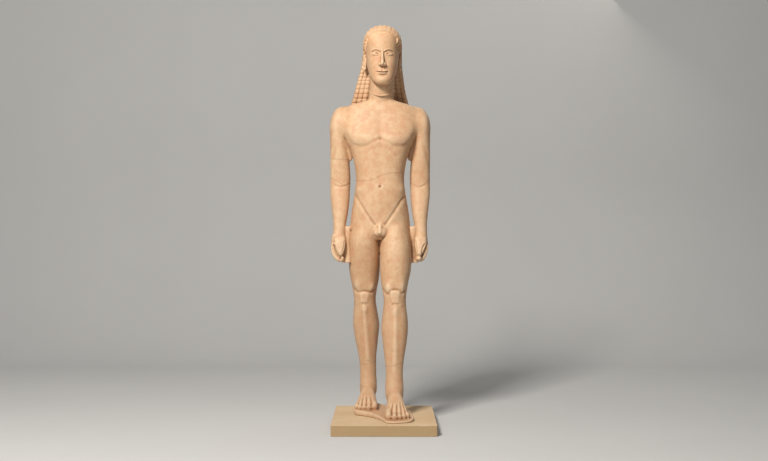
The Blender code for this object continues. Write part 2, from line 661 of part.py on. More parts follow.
def marble(name, colour, roughness):
    material = bpy.data.materials.new(name)
    material.use_nodes = True
    shader = material.node_tree.nodes["Principled BSDF"]
    shader.inputs["Base Color"].default_value = (*colour, 1)
    shader.inputs["Roughness"].default_value = roughness
    shader.inputs["Metallic"].default_value = 0
    return material


def new_collection(name):
    collection = bpy.data.collections.new(name)
    bpy.context.scene.collection.children.link(collection)
    return collection


def make_kouros(finished, shapes, additions):
    rough_out_trunk(shapes)
    for name, side in (("left", 1), ("right", -1)):
        rough_out_arm(name, side, shapes)
    loft("left_leg", stacked(LEFT_LEG, 60, 36), shapes)
    loft("right_leg", stacked(RIGHT_LEG, 60, 36), shapes)
    rough_out_foot("left_foot", LEFT_FOOT, shapes)
    rough_out_foot("right_foot", RIGHT_FOOT, shapes)
    rough_out_head(shapes)
    mesh = fuse(shapes)

    points = measured(mesh)
    edges = np.empty(len(mesh.edges) * 2, int)
    mesh.edges.foreach_get("vertices", edges)
    facing = np.empty(len(mesh.vertices) * 3)
    mesh.vertices.foreach_get("normal", facing)
    points = smoothed(points, edges.reshape(-1, 2), join_weight(points), JOIN_SMOOTHING_COUNT)
    points = carve_trunk(points, facing.reshape(-1, 3))
    points = carve_leg(points, LEFT_LEG, 1)
    points = carve_leg(points, RIGHT_LEG, -1)
    points = carve_face(points)
    mesh.vertices.foreach_set("co", placed(settled(points)).ravel())

    body = bpy.data.objects.new("kouros", mesh)
    finished.objects.link(body)
    facets = body.modifiers.new("facets", "DECIMATE")
    facets.ratio = FIGURE_TRIANGLES / (2 * len(mesh.polygons))
    make_hair(additions)
    make_neckband(additions)
    make_foot_block(additions)
    for shape in additions.objects:
        shape.hide_render = True
        shape.display_type = "WIRE"
        joined = body.modifiers.new(shape.name, "BOOLEAN")
        joined.operation = "UNION"
        joined.object = shape
    body.data.materials.clear()
    body.data.materials.append(marble("marble", (0.78, 0.60, 0.43), 0.55))


def make_slab(finished):
    bpy.ops.mesh.primitive_cube_add(size=1, location=(0, 0, SLAB_THICKNESS / 2))
    slab = bpy.context.object
    slab.name = "slab"
    slab.scale = (SLAB_WIDTH, SLAB_DEPTH, SLAB_THICKNESS)
    bpy.ops.object.transform_apply(location=False, scale=True)
    slab.users_collection[0].objects.unlink(slab)
    finished.objects.link(slab)
    edge = slab.modifiers.new("worn_edge", "BEVEL")
    edge.width = SLAB_EDGE
    edge.segments = 2
    slab.data.materials.append(marble("slab_stone", (0.66, 0.52, 0.35), 0.8))


def main():
    for old in list(bpy.data.objects):
        bpy.data.objects.remove(old)
    finished = new_collection("kouros_statue")
    make_kouros(finished, new_collection("rough_shapes"), new_collection("hair_and_foot_block"))
    make_slab(finished)


main()
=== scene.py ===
"""Looks of the kouros statue: the carved marble youth with his hair, neckband and foot block, on his slab."""

import math

import bpy
import numpy as np
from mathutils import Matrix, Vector


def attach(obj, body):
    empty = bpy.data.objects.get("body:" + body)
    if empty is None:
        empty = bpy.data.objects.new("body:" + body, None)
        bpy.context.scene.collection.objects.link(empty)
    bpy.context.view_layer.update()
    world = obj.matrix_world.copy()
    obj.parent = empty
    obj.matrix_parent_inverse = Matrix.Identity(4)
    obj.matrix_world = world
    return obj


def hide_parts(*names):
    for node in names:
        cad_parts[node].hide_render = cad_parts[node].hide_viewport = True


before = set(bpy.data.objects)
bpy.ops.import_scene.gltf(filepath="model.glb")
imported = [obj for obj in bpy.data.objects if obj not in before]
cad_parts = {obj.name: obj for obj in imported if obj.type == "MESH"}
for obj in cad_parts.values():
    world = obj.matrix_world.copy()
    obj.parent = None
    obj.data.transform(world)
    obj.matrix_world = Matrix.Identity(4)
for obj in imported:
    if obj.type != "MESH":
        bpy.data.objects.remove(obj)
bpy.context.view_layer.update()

# The slab
# A plain slab of buff limestone, sawn flat, its arrises rubbed round and chipped in places.
# The figure's own foot block is bedded on its top.

SLAB_SIZE = (0.510, 0.635, 0.055)
SLAB_ARRIS = 0.0025  # rounding of its edges
SLAB_STEP = 0.0045  # spacing of its grid


def ripple(points, step, seed):
    """Smooth random values from -1 to 1: a random number at each corner of a cubic lattice of this step, and
    between the corners their mean weighted by 3t^2 - 2t^3 along each axis."""
    place = np.asarray(points, float) / step + 4096.0
    corner = np.floor(place).astype(np.int64)
    t = place - corner
    t = t * t * (3 - 2 * t)
    total = np.zeros(place.shape[:-1])
    for number in range(8):
        offset = np.array((number & 1, number >> 1 & 1, number >> 2))
        key = (corner + offset) @ np.array((73856093, 19349663, 83492791)) + seed * 2654435
        key = (key ^ (key >> 13)) * 1274126177 & 0xFFFFFFFF
        key = (key ^ (key >> 16)) * 668265263 & 0xFFFFFFFF
        value = (key >> 8 & 0xFFFF) / 32767.5 - 1
        total += value * np.prod(np.where(offset, t, 1 - t), axis=-1)
    return total


def rectangle(width, depth, radius, step):
    """Points round a rectangle with round corners, evenly spaced, and the outward direction at each."""
    turn = np.linspace(0, np.pi / 2, 5)
    corner = np.stack([np.cos(turn), np.sin(turn)], axis=-1)
    places, outward = [], []
    for sx, sy, first in ((1, 1, 0), (-1, 1, 1), (-1, -1, 0), (1, -1, 1)):
        arc = corner[::-1] if first else corner
        outward.append(arc * (sx, sy))
        places.append(arc * (sx, sy) * radius + np.array((sx, sy)) * (width / 2 - radius, depth / 2 - radius))
    places, outward = np.vstack(places), np.vstack(outward)
    places, outward = (np.vstack([part, part[:1]]) for part in (places, outward))
    length = np.concatenate([[0], np.cumsum(np.linalg.norm(np.diff(places, axis=0), axis=1))])
    even = np.unique(np.concatenate([np.arange(0, length[-1] - step / 2, step), length[:-1]]))
    read = [np.interp(even, length, column) for column in (*places.T, *outward.T)]
    return np.stack(read[:2], axis=-1), np.stack(read[2:], axis=-1)


def skin(name, points, material, ring=False):
    """A closed mesh object from rows of sections in metres: quads between the rows, and a fan to the middle of
    the first and of the last row, or with ring the last row joined to the first."""
    rows, columns = points.shape[:2]
    index = np.arange(rows * columns).reshape(rows, columns)
    if ring:
        index = np.vstack([index, index[:1]])
    beside = np.roll(index, -1, axis=1)
    faces = np.stack([index[:-1], beside[:-1], beside[1:], index[1:]], axis=-1).reshape(-1, 4).tolist()
    verts = points.reshape(-1, 3)
    if not ring:
        bottom, top = len(verts), len(verts) + 1
        verts = np.vstack([verts, points[0].mean(axis=0), points[-1].mean(axis=0)])
        faces += [(bottom, b, a) for a, b in zip(index[0].tolist(), beside[0].tolist())]
        faces += [(top, a, b) for a, b in zip(index[-1].tolist(), beside[-1].tolist())]
    mesh = bpy.data.meshes.new(name)
    mesh.from_pydata(verts.tolist(), [], faces)
    if volume(mesh) < 0:
        mesh.flip_normals()
    return finished(name, mesh, material)


def volume(mesh):
    """The volume inside a closed mesh, as the sum of its triangles' cones to the origin."""
    mesh.calc_loop_triangles()
    corners = np.empty(len(mesh.loop_triangles) * 3, int)
    mesh.loop_triangles.foreach_get("vertices", corners)
    co = np.empty(len(mesh.vertices) * 3)
    mesh.vertices.foreach_get("co", co)
    a, b, c = co.reshape(-1, 3)[corners.reshape(-1, 3)].transpose(1, 0, 2)
    return np.einsum("ij,ij->", a, np.cross(b, c)) / 6


def finished(name, mesh, material):
    """The mesh as a smooth-shaded piece of the object that stays with the frame."""
    mesh.shade_smooth()
    mesh.materials.clear()
    mesh.materials.append(material)
    piece = bpy.data.objects.new(name, mesh)
    bpy.context.scene.collection.objects.link(piece)
    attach(piece, "root")
    return piece


def node(tree, kind, inputs=None, **settings):
    """A shader node of this kind, with its settings made and its sockets set or linked."""
    made = tree.nodes.new("ShaderNode" + kind)
    for name, value in settings.items():
        setattr(made, name, value)
    for name, value in (inputs or {}).items():
        if isinstance(value, bpy.types.NodeSocket):
            tree.links.new(value, made.inputs[name])
        else:
            made.inputs[name].default_value = value
    return made


def cloud(tree, where, scale, detail=4.0, roughness=0.55, stretch=None):
    """A noise pattern's value at a place on the stone, drawn out by the factors of stretch."""
    if stretch:
        where = node(tree, "Mapping", {"Vector": where, "Scale": stretch}).outputs[0]
    values = {"Vector": where, "Scale": scale, "Detail": detail, "Roughness": roughness}
    return node(tree, "TexNoise", values).outputs["Fac"]


def steps(tree, value, low, high, start=0.0, end=1.0):
    """Runs from start to end as value goes from low to high, and stays there."""
    values = {"Value": value, "From Min": low, "From Max": high, "To Min": start, "To Max": end}
    return node(tree, "MapRange", values, clamp=True).outputs[0]


def times(tree, first, second, operation="MULTIPLY"):
    return node(tree, "Math", {0: first, 1: second}, operation=operation).outputs[0]


def paint(tree, share, below, above):
    """Colour above laid over colour below by its share."""
    made = node(tree, "Mix", data_type="RGBA")
    for number, value in ((0, share), (6, below), (7, above)):
        if isinstance(value, bpy.types.NodeSocket):
            tree.links.new(value, made.inputs[number])
        else:
            made.inputs[number].default_value = value if number == 0 else (*value, 1)
    return made.outputs[2]


def roughen(tree, shader, *layers):
    """Bump layers one over another, each a height, how many metres it stands for and its strength."""
    below = {}
    for height, metres, strength in layers:
        bump = node(tree, "Bump", {"Height": height, "Distance": metres, "Strength": strength, **below})
        below = {"Normal": bump.outputs[0]}
    tree.links.new(bump.outputs[0], shader.inputs["Normal"])


def stone(name):
    """A new material: its tree, its shader and the Object coordinates on the piece."""
    material = bpy.data.materials.new(name)
    material.use_nodes = True
    tree = material.node_tree
    return material, tree, tree.nodes["Principled BSDF"], node(tree, "TexCoord").outputs["Object"]


def keep_share(mesh, name, values):
    """Stores a value from 0 to 1 at each vertex, for the material to read."""
    kept = mesh.attributes.new(name, "FLOAT", "POINT")
    kept.data.foreach_set("value", np.clip(values, 0, 1).astype(np.float32))


def kept_share(tree, name):
    return node(tree, "Attribute", attribute_name=name).outputs["Fac"]


def limestone():
    """Cream with faint level bedding, browner in its pits, chalky where it is rubbed; painted shade on its
    sides.
    """
    material, tree, shader, where = stone("buff_limestone")
    bedding = cloud(tree, where, 7.0, 5, 0.6, (0.35, 0.35, 9.0))
    blotch = cloud(tree, where, 5.0, 6, 0.62)
    grain = cloud(tree, where, 260.0, 3, 0.7)
    pits = node(tree, "TexVoronoi", {"Vector": where, "Scale": 140.0}).outputs["Distance"]
    pitted = times(tree, steps(tree, pits, 0.16, 0.06), steps(tree, cloud(tree, where, 30.0), 0.5, 0.62))
    colour = paint(tree, steps(tree, bedding, 0.3, 0.7), (0.53, 0.375, 0.215), (0.67, 0.495, 0.31))
    colour = paint(tree, steps(tree, blotch, 0.42, 0.68, 0, 0.55), colour, (0.53, 0.345, 0.19))
    colour = paint(tree, steps(tree, grain, 0.35, 0.7, 0, 0.35), colour, (0.75, 0.59, 0.39))
    # Painted shade: the sides below the top edge are darker than the top, as if the top caught more light
    height = node(tree, "SeparateXYZ", {"Vector": where}).outputs["Z"]
    colour = paint(tree, steps(tree, height, 0.0535, 0.0515, 0, 0.7), colour, (0.33, 0.215, 0.10))
    colour = paint(tree, times(tree, pitted, 0.7), colour, (0.30, 0.20, 0.11))
    worn = kept_share(tree, "worn")
    colour = paint(tree, times(tree, worn, 0.5), colour, (0.70, 0.575, 0.41))
    tree.links.new(colour, shader.inputs["Base Color"])
    tree.links.new(steps(tree, grain, 0.3, 0.7, 0.74, 0.92), shader.inputs["Roughness"])
    shader.inputs["Specular IOR Level"].default_value = 0.3
    saw = cloud(tree, where, 60.0, 3, 0.5, (0.2, 0.2, 6.0))
    roughen(tree, shader, (saw, 0.0006, 0.6), (grain, 0.0006, 0.7), (pitted, -0.0012, 0.8))
    return material


def make_slab():
    """Round-cornered rectangles one above another: in from the middle of the underside, up the sides and back
    to the middle of the top. The arrises lose a little more stone wherever the ripple is high."""
    width, depth, thick = SLAB_SIZE
    outline, outward = rectangle(width, depth, 0.004, SLAB_STEP)
    turn = np.linspace(0, np.pi / 2, 6)
    inward = np.concatenate([np.linspace(0.24, 0.012, 24), SLAB_ARRIS * (1 - np.sin(turn)), np.zeros(9)])
    level = np.concatenate([np.zeros(24), SLAB_ARRIS * (1 - np.cos(turn)), np.linspace(0.006, thick / 2, 9)])
    inward = np.concatenate([inward, inward[-2::-1]])
    level = np.concatenate([level, thick - level[-2::-1]])
    size = np.array((width / 2, depth / 2))
    shrink = np.clip(inward, 0, None)[:, None, None] / size
    flat = outline[None] * (1 - shrink)
    points = np.concatenate([flat, np.broadcast_to(level[:, None, None], (*flat.shape[:2], 1))], axis=-1)
    from_top, from_side = thick - level[:, None], inward[:, None]
    from_edge = np.hypot(np.minimum(from_top, level[:, None]), from_side)
    waves = ((1.6, 0.045, 3), (1.3, 0.013, 5), (0.6, 0.006, 6))
    loss = sum(height * ripple(points, step, seed) for height, step, seed in waves) - 0.9
    chips = np.clip(ripple(points, 0.028, 11) * 9 - 5.6, 0, 4)
    loss = (np.clip(loss, 0, 3) + chips) * 0.001 * np.exp(-((from_edge / 0.0065) ** 2))
    upward = np.where(from_top < level[:, None], 1.0, -1.0)[..., None] + 0 * flat[..., :1]
    diagonal = np.concatenate([np.broadcast_to(outward, flat.shape), upward], axis=-1)
    points = points - diagonal * loss[..., None] * 0.7
    fine = 0.00022 * ripple(points, 0.030, 7) + 0.00012 * ripple(points, 0.007, 8) - 0.0003
    points[..., 2] += np.where(from_top < 1e-5, fine, 0)
    side = np.exp(-((from_side / 0.001) ** 2))
    points[..., :2] += outward * (side * fine)[..., None]
    slab = skin("worn_slab", points, limestone())
    keep_share(slab.data, "worn", np.append((loss / 0.0022).ravel(), (0, 0)))
    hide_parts("slab")


make_slab()

# The figure
# One block of fine-grained marble, carved with point, flat chisel and abrasive: trunk, arms, legs and the thin
# block under the feet. Broken across waist, elbows and shins and mended, so hairlines run round it there.

FIGURE_PLACE = (-0.020, 0.0, 0.0793)  # the point between the soles
MM = 0.001  # its measures are millimetres: x from its axis, y from the slab's middle, h above the soles
FAR = 2000  # beyond the figure on every side
BODY_GRAIN = 2.7  # spacing of the skin's vertices
FIGURE_TRIANGLES = 190000

# Sections one above another: height, middle x, half width, front y, back y, squareness
TORSO = (
    (1590, 4, 34, 72, 182, 2.1), (1577, 4, 62, 66, 187, 2.1), (1566, 2, 100, 62, 195, 2.2),
    (1556, 0, 138, 60, 206, 2.2), (1544, 0, 172, 57, 222, 2.3), (1527, 0, 197, 51, 243, 2.4),
    (1497, 0, 206, 43, 260, 2.6), (1455, 0, 208, 32, 265, 2.8), (1405, 0, 194, 14, 263, 2.9),
    (1375, 0, 177, 4, 259, 2.9), (1350, 0, 166, 3, 255, 2.8), (1322, 0, 153, 6, 250, 2.6),
    (1290, 0, 143, 5, 243, 2.5), (1250, 0, 133, 5, 232, 2.5), (1200, 0, 125, 7, 219, 2.5),
    (1160, 0, 123, 8, 211, 2.5), (1125, 0, 125, 7, 208, 2.5), (1090, 0, 131, 8, 222, 2.5),
    (1050, 0, 138, 8, 246, 2.5), (1005, 0, 146, 11, 266, 2.5), (965, 0, 151, 13, 268, 2.4),
    (925, 0, 153, 14, 262, 2.4), (885, 0, 146, 20, 246, 2.3), (858, 0, 120, 40, 226, 2.2),
)  # fmt: skip
NECK = (
    (1510, 2, 80, 76, 246, 2.1), (1540, 3, 72, 66, 238, 2.1), (1575, 5, 67, 54, 220, 2.1),
    (1610, 8, 64, 41, 206, 2.1), (1645, 10, 62, 32, 202, 2.1), (1700, 12, 62, 38, 207, 2.1),
    (1765, 12, 66, 70, 210, 2.1),
)  # fmt: skip
ARM = (
    (1546, 190, 16, 132, 200, 2.1), (1534, 196, 32, 112, 222, 2.2), (1512, 200, 43, 92, 238, 2.3),
    (1478, 204, 50, 78, 246, 2.4), (1440, 207, 52, 77, 244, 2.4), (1400, 210, 48, 85, 233, 2.3),
    (1350, 213, 45, 96, 214, 2.3), (1300, 211, 47, 104, 201, 2.3), (1250, 208, 50, 109, 199, 2.3),
    (1190, 206, 52, 114, 203, 2.3), (1150, 206, 52, 115, 207, 2.3), (1120, 207, 51, 110, 203, 2.3),
    (1085, 207, 50, 101, 195, 2.3), (1040, 206, 46, 91, 185, 2.3), (990, 206, 40, 84, 170, 2.3),
    (940, 208, 33, 79, 155, 2.3), (900, 210, 31, 73, 146, 2.3), (870, 210, 31, 66, 146, 2.4),
)  # fmt: skip
# The stone left standing between arm and trunk in the armpit
WEB = (
    (1370, 176, 24, 108, 188, 2.1), (1325, 167, 20, 116, 178, 2.1), (1292, 158, 14, 126, 168, 2.1),
    (1266, 152, 7, 134, 158, 2.1),
)  # fmt: skip
# The back of the shoulder, one mass with the arm
SHOULDER = (
    (1545, 172, 34, 120, 215, 2.2), (1515, 176, 42, 120, 245, 2.2), (1460, 178, 46, 120, 252, 2.2),
    (1410, 176, 44, 120, 250, 2.2), (1370, 172, 36, 120, 237, 2.2), (1335, 166, 24, 130, 211, 2.2),
)  # fmt: skip
PALM = (
    (885, 210, 31, 70, 144, 2.3), (862, 211, 33, 66, 148, 2.5), (835, 211, 34, 64, 149, 2.6),
    (805, 210, 33, 65, 148, 2.6), (780, 204, 27, 70, 139, 2.5), (760, 195, 19, 74, 125, 2.4),
)  # fmt: skip
THUMB = (
    (884, 208, 24, 70, 120, 2.2), (862, 207, 30, 56, 102, 2.4), (838, 206, 30, 46, 86, 2.4),
    (816, 204, 25, 41, 74, 2.3), (798, 202, 18, 38, 64, 2.2), (784, 201, 12, 39, 60, 2.0),
    (776, 201, 6, 44, 56, 2.0),
)  # fmt: skip
BRIDGE = (
    (926, 165, 12, 94, 130, 3.5), (880, 168, 16, 90, 132, 3.5), (800, 171, 22, 84, 134, 3.5),
    (740, 173, 23, 74, 122, 3.5),
)  # fmt: skip
RIGHT_LEG = (
    (935, -74, 66, 26, 254, 2.2), (865, -80, 78, 18, 247, 2.2), (790, -82, 80, 34, 251, 2.2),
    (710, -81, 79, 58, 253, 2.2), (650, -79, 72, 76, 249, 2.2), (600, -79, 62, 90, 239, 2.2),
    (550, -79, 56, 98, 231, 2.2), (510, -77, 59, 107, 234, 2.2), (460, -75, 65, 117, 247, 2.2),
    (410, -72, 68, 126, 254, 2.1), (350, -71, 61, 137, 253, 2.1), (300, -68, 53, 144, 249, 2.1),
    (250, -66, 46, 150, 244, 2.1), (200, -63, 43, 155, 239, 2.1), (150, -62, 43, 153, 237, 2.1),
    (105, -61, 45, 142, 239, 2.1), (60, -61, 42, 132, 241, 2.1),
)  # fmt: skip
LEFT_LEG = (
    (935, 74, 66, 16, 250, 2.2), (865, 78, 78, -8, 232, 2.2), (790, 80, 80, -27, 200, 2.2),
    (710, 79, 79, -32, 166, 2.2), (650, 75, 71, -31, 143, 2.2), (600, 74, 62, -31, 121, 2.2),
    (550, 75, 56, -32, 101, 2.2), (510, 75, 59, -33, 97, 2.2), (460, 75, 65, -36, 100, 2.2),
    (410, 74, 68, -39, 96, 2.1), (350, 74, 62, -42, 84, 2.1), (300, 73, 55, -44, 68, 2.1),
    (250, 72, 48, -47, 50, 2.1), (200, 72, 44, -53, 38, 2.1), (150, 72, 45, -63, 29, 2.1),
    (105, 72, 47, -78, 25, 2.1), (60, 72, 42, -86, 22, 2.1),
)  # fmt: skip
# A foot from heel to toes: distance from the heel, half width, top
FOOT = (
    (0, 16, 36), (5, 25, 58), (20, 33, 88), (50, 37, 110), (86, 39, 111), (120, 43, 95), (155, 49, 73),
    (190, 54, 54), (214, 55, 43), (230, 50, 31),
)  # fmt: skip
# Toes from the big one outwards: how far out from the foot's line, where the tip is, radius
TOES = ((-40, 262, 17.5), (-13, 267, 14), (10, 259, 13.5), (31, 248, 12.5), (49, 234, 11.5))
# Each foot: middle x at the heel and at the toes, heel y, side (1 is the figure's left), length of its toes
LEFT_FOOT = (71, 84, 20, 1, 1.0)
RIGHT_FOOT = (-61, -70, 244, -1, 0.93)
BLOCK_THICK = 24  # down to the bed on the slab
FOOT_BLOCK = (
    (30, -258), (64, -270), (112, -262), (150, -236), (165, -185), (160, -95), (150, 0), (128, 60),
    (84, 108), (40, 158), (10, 212), (-14, 258), (-50, 275), (-96, 268), (-120, 238), (-128, 150),
    (-133, 60), (-129, 10), (-116, -14), (-84, -42), (-50, -78), (-20, -126), (6, -188),
)  # fmt: skip


def along(table, rows):
    """The table's columns at evenly spaced steps of a Catmull-Rom curve through its lines."""
    points = np.array(table, float)
    padded = np.vstack([2 * points[0] - points[1], points, 2 * points[-1] - points[-2]])
    place = np.linspace(0, len(points) - 1, rows)
    first = np.minimum(place.astype(int), len(points) - 2)
    t = (place - first)[:, None]
    p0, p1, p2, p3 = (padded[first + i] for i in range(4))
    bend = (2 * p0 - 5 * p1 + 4 * p2 - p3) * t**2 + (3 * p1 - p0 - 3 * p2 + p3) * t**3
    return 0.5 * (2 * p1 + (p2 - p0) * t + bend)


def superellipse(angle, squareness):
    """Sine and cosine to the power 2 / squareness, signs kept: 2 gives a circle, more a squarer section."""
    sine, cosine = np.sin(angle), np.cos(angle)
    power = 2 / squareness
    return np.sign(sine) * np.abs(sine) ** power, np.sign(cosine) * np.abs(cosine) ** power


def stacked(table, rows, columns, side=1):
    """Level superellipses one above another, their sizes read along the table: rows by columns by (x, y, h)."""
    height, middle, half, front, back, square = along(table, rows).T[:, :, None]
    across, ahead = superellipse(np.linspace(0, 2 * np.pi, columns, endpoint=False)[None, :], square)
    y = (front + back) / 2 - (back - front) / 2 * ahead
    return np.stack([middle + half * across, y, height + 0 * y], axis=-1) * (side, 1, 1)


def tube(path, radii, sides=20):
    """Circles of these radii carried along a path, square to it."""
    path = np.array(path, float)
    ahead = np.gradient(path, axis=0)
    ahead /= np.linalg.norm(ahead, axis=1)[:, None]
    across = np.cross(ahead, (0.0, 1.0, 0.0))
    across /= np.linalg.norm(across, axis=1)[:, None]
    up = np.cross(across, ahead)
    angle = np.linspace(0, 2 * np.pi, sides, endpoint=False)
    radii = np.broadcast_to(np.array(radii, float), len(path))
    ring = across[:, None] * np.cos(angle)[:, None] + up[:, None] * np.sin(angle)[:, None]
    return path[:, None] + ring * radii[:, None, None]


def finger(path, start, end, rows=31):
    """A tube along a curve whose radius goes from start to end, rounded off at both ends."""
    step = np.linspace(0, 1, rows)
    rounding = np.sqrt(np.clip(1 - (2 * step - 1) ** 6, 0.03, 1))
    return tube(along(path, rows), rounding * (start + (end - start) * step))


def egg(centre, reach, rows=25, columns=36):
    """A ball stretched to reach along x, y and h."""
    lift = np.linspace(0.03, 0.97, rows)[:, None] * np.pi
    angle = np.linspace(0, 2 * np.pi, columns, endpoint=False)[None, :]
    x, y = np.sin(lift) * np.sin(angle), -np.sin(lift) * np.cos(angle)
    ball = np.stack([x, y, np.cos(lift) + 0 * angle], axis=-1)
    return np.array(centre, float) + ball * np.array(reach, float)


def placed(points):
    """Points of the figure in metres from the slab's middle."""
    return np.asarray(points).reshape(-1, 3) * MM + FIGURE_PLACE


def fused(shapes, grain, body=None):
    """One skin round overlapping closed shapes, and a body if given: all in one mesh, wrapped at this grain."""
    verts, faces, start = [], [], 0
    if body:
        verts.append(placed(read(body, "points")))
        faces += [tuple(face.vertices) for face in body.polygons]
        start = len(body.vertices)
    for shape in shapes:
        rows, columns = shape.shape[:2]
        index = start + np.arange(rows * columns).reshape(rows, columns)
        beside = np.roll(index, -1, axis=1)
        sides = np.stack([index[:-1], beside[:-1], beside[1:], index[1:]], axis=-1).reshape(-1, 4)
        centre = shape.reshape(-1, 3).mean(axis=0)
        a, b, c = (shape[:-1] - centre, np.roll(shape, -1, axis=1)[:-1] - centre, shape[1:] - centre)
        if (np.cross(b, c) * a).sum() < 0:
            sides, index = sides[:, ::-1], index[:, ::-1]
        verts.append(placed(shape))
        faces += [*sides.tolist(), index[0, ::-1].tolist(), index[-1].tolist()]
        start += rows * columns
    mesh = bpy.data.meshes.new("rough")
    mesh.from_pydata(np.vstack(verts).tolist(), [], faces)
    return with_modifier(mesh, "REMESH", mode="VOXEL", voxel_size=grain * MM)


def with_modifier(mesh, kind, plain=None, **settings):
    """The mesh after one modifier, which works only on the plain vertices where those are given."""
    body = bpy.data.objects.new("rough", mesh)
    bpy.context.scene.collection.objects.link(body)
    if plain is not None:
        body.vertex_groups.new(name="plain").add(plain.tolist(), 1.0, "REPLACE")
        settings["vertex_group"] = "plain"
    modifier = body.modifiers.new("step", kind)
    for name, value in settings.items():
        setattr(modifier, name, value)
    made = bpy.data.meshes.new_from_object(body.evaluated_get(bpy.context.evaluated_depsgraph_get()))
    bpy.data.objects.remove(body)
    return made


def read(mesh, what):
    """A mesh's points in the figure's millimetres, its vertices' normals, or its edges, as an array."""
    if what == "edges":
        ends = np.empty(len(mesh.edges) * 2, int)
        mesh.edges.foreach_get("vertices", ends)
        return ends.reshape(-1, 2)
    values = np.empty(len(mesh.vertices) * 3)
    mesh.vertices.foreach_get("co" if what == "points" else "normal", values)
    values = values.reshape(-1, 3)
    return (values - FIGURE_PLACE) / MM if what == "points" else values


def write(mesh, points):
    """Puts points in millimetres back into the mesh."""
    mesh.vertices.foreach_set("co", placed(points).ravel())
    mesh.update()


def smoothed(points, edges, weight, rounds):
    """Draws each point by its weight towards the mean of its neighbours, this many times."""
    ends = np.concatenate([edges, edges[:, ::-1]])
    count = np.bincount(ends[:, 0], minlength=len(points))[:, None]
    for _ in range(rounds):
        pull = [np.bincount(ends[:, 0], points[ends[:, 1], i], len(points)) for i in range(3)]
        points = points + weight[:, None] * (np.stack(pull, axis=1) / count - points)
    return points


def bell(points, centre, reach):
    """1 at the centre, falling off like a bell curve with the distance from it in units of reach."""
    return np.exp(-(((points - np.array(centre, float)) / np.array(reach, float)) ** 2).sum(-1))


def swell(points, centre, reach, lift):
    """Moves the surface by lift, times the bell round the centre."""
    near = (np.abs(points - np.array(centre, float)) < 3 * np.array(reach, float)).all(axis=-1)
    points[near] += bell(points[near], centre, reach)[:, None] * np.array(lift, float)


def swell_both(points, centre, reach, lift):
    mirror = np.array((-1, 1, 1))
    swell(points, centre, reach, lift)
    swell(points, np.array(centre) * mirror, reach, np.array(lift) * mirror)


# The two axes a line is drawn on, the axis it is seen along, and the sign of the side it is seen from
SEEN = {"front": ((0, 2), 1, -1), "back": ((0, 2), 1, 1), "left": ((1, 2), 0, 1), "right": ((1, 2), 0, -1),
        "above": ((0, 1), 2, 1), "below": ((0, 1), 2, -1)}  # fmt: skip


def distance(flat, line):
    """Each flat point's distance to a line of straight stretches."""
    nearest = np.full(len(flat), np.inf)
    for start, end in zip(line[:-1], line[1:]):
        stretch = end - start
        share = np.clip(((flat - start) @ stretch) / max(stretch @ stretch, 1e-9), 0, 1)
        nearest = np.minimum(nearest, np.linalg.norm(flat - start - share[:, None] * stretch, axis=1))
    return nearest


def in_view(points, facing, seen, line, width, span):
    """Which points face the side it is seen from, near the line and within the span along the axis of sight,
    where each lies as seen, and how far it is turned that way, from 0 to 1."""
    axes, sight, sign = SEEN[seen]
    flat = points[:, axes]
    near = ((flat > line.min(axis=0) - 3 * width) & (flat < line.max(axis=0) + 3 * width)).all(axis=1)
    near &= (points[:, sight] > span[0]) & (points[:, sight] < span[1]) & (facing[:, sight] * sign > 0)
    near = np.flatnonzero(near)
    return near, flat[near], np.clip(facing[near, sight] * sign * 2.2, 0, 1)


def furrow(points, facing, seen, line, width, depth, span=(-FAR, FAR), taper=0.0):
    """Sinks a groove of depth times a bell of width across a curve drawn on the stone as seen from one side;
    with taper it dies out towards its end, and a depth below 0 makes a ridge."""
    line = along(line, 5 * len(line))
    near, spot, turned = in_view(points, facing, seen, line, width, span)
    share = np.exp(-((distance(spot, line) / width) ** 2)) * turned
    if taper:
        away = np.linalg.norm(spot - line[-1], axis=1) / np.linalg.norm(line[-1] - line[0])
        share *= np.clip(away / taper, 0, 1)
    points[near] -= facing[near] * (share * depth)[:, None]


def plateau(points, facing, seen, outline, lift, soft, span=(-FAR, FAR)):
    """Raises what lies inside an outline seen from one side, with an edge soft on both sides of it."""
    line = along((*outline, outline[0]), 6 * len(outline))
    near, spot, turned = in_view(points, facing, seen, line, soft, span)
    (x1, y1), (x2, y2) = line[:-1].T, line[1:].T
    crosses = (y1 > spot[:, 1:]) != (y2 > spot[:, 1:])
    reach = x1 + (x2 - x1) * (spot[:, 1:] - y1) / np.where(y2 == y1, 1e-9, y2 - y1)
    inside = (crosses & (spot[:, :1] < reach)).sum(axis=1) % 2 == 1
    signed = distance(spot, line) * np.where(inside, 1, -1)
    share = 1 / (1 + np.exp(-3 * signed / soft)) * turned
    points[near] += facing[near] * (share * lift)[:, None]


def mirrored(line, side):
    return [(side * a, b) for a, b in line]


def furrows(points, facing, side, lines):
    """Furrows drawn as for the figure's left and mirrored for side -1, each with what furrow asks for."""
    for seen, line, *rest in lines:
        furrow(points, facing, seen, mirrored(line, side), *rest)


FINGERS_AT = (75, 91, 108, 127)  # y of each finger's middle
FIST_RISE = 10


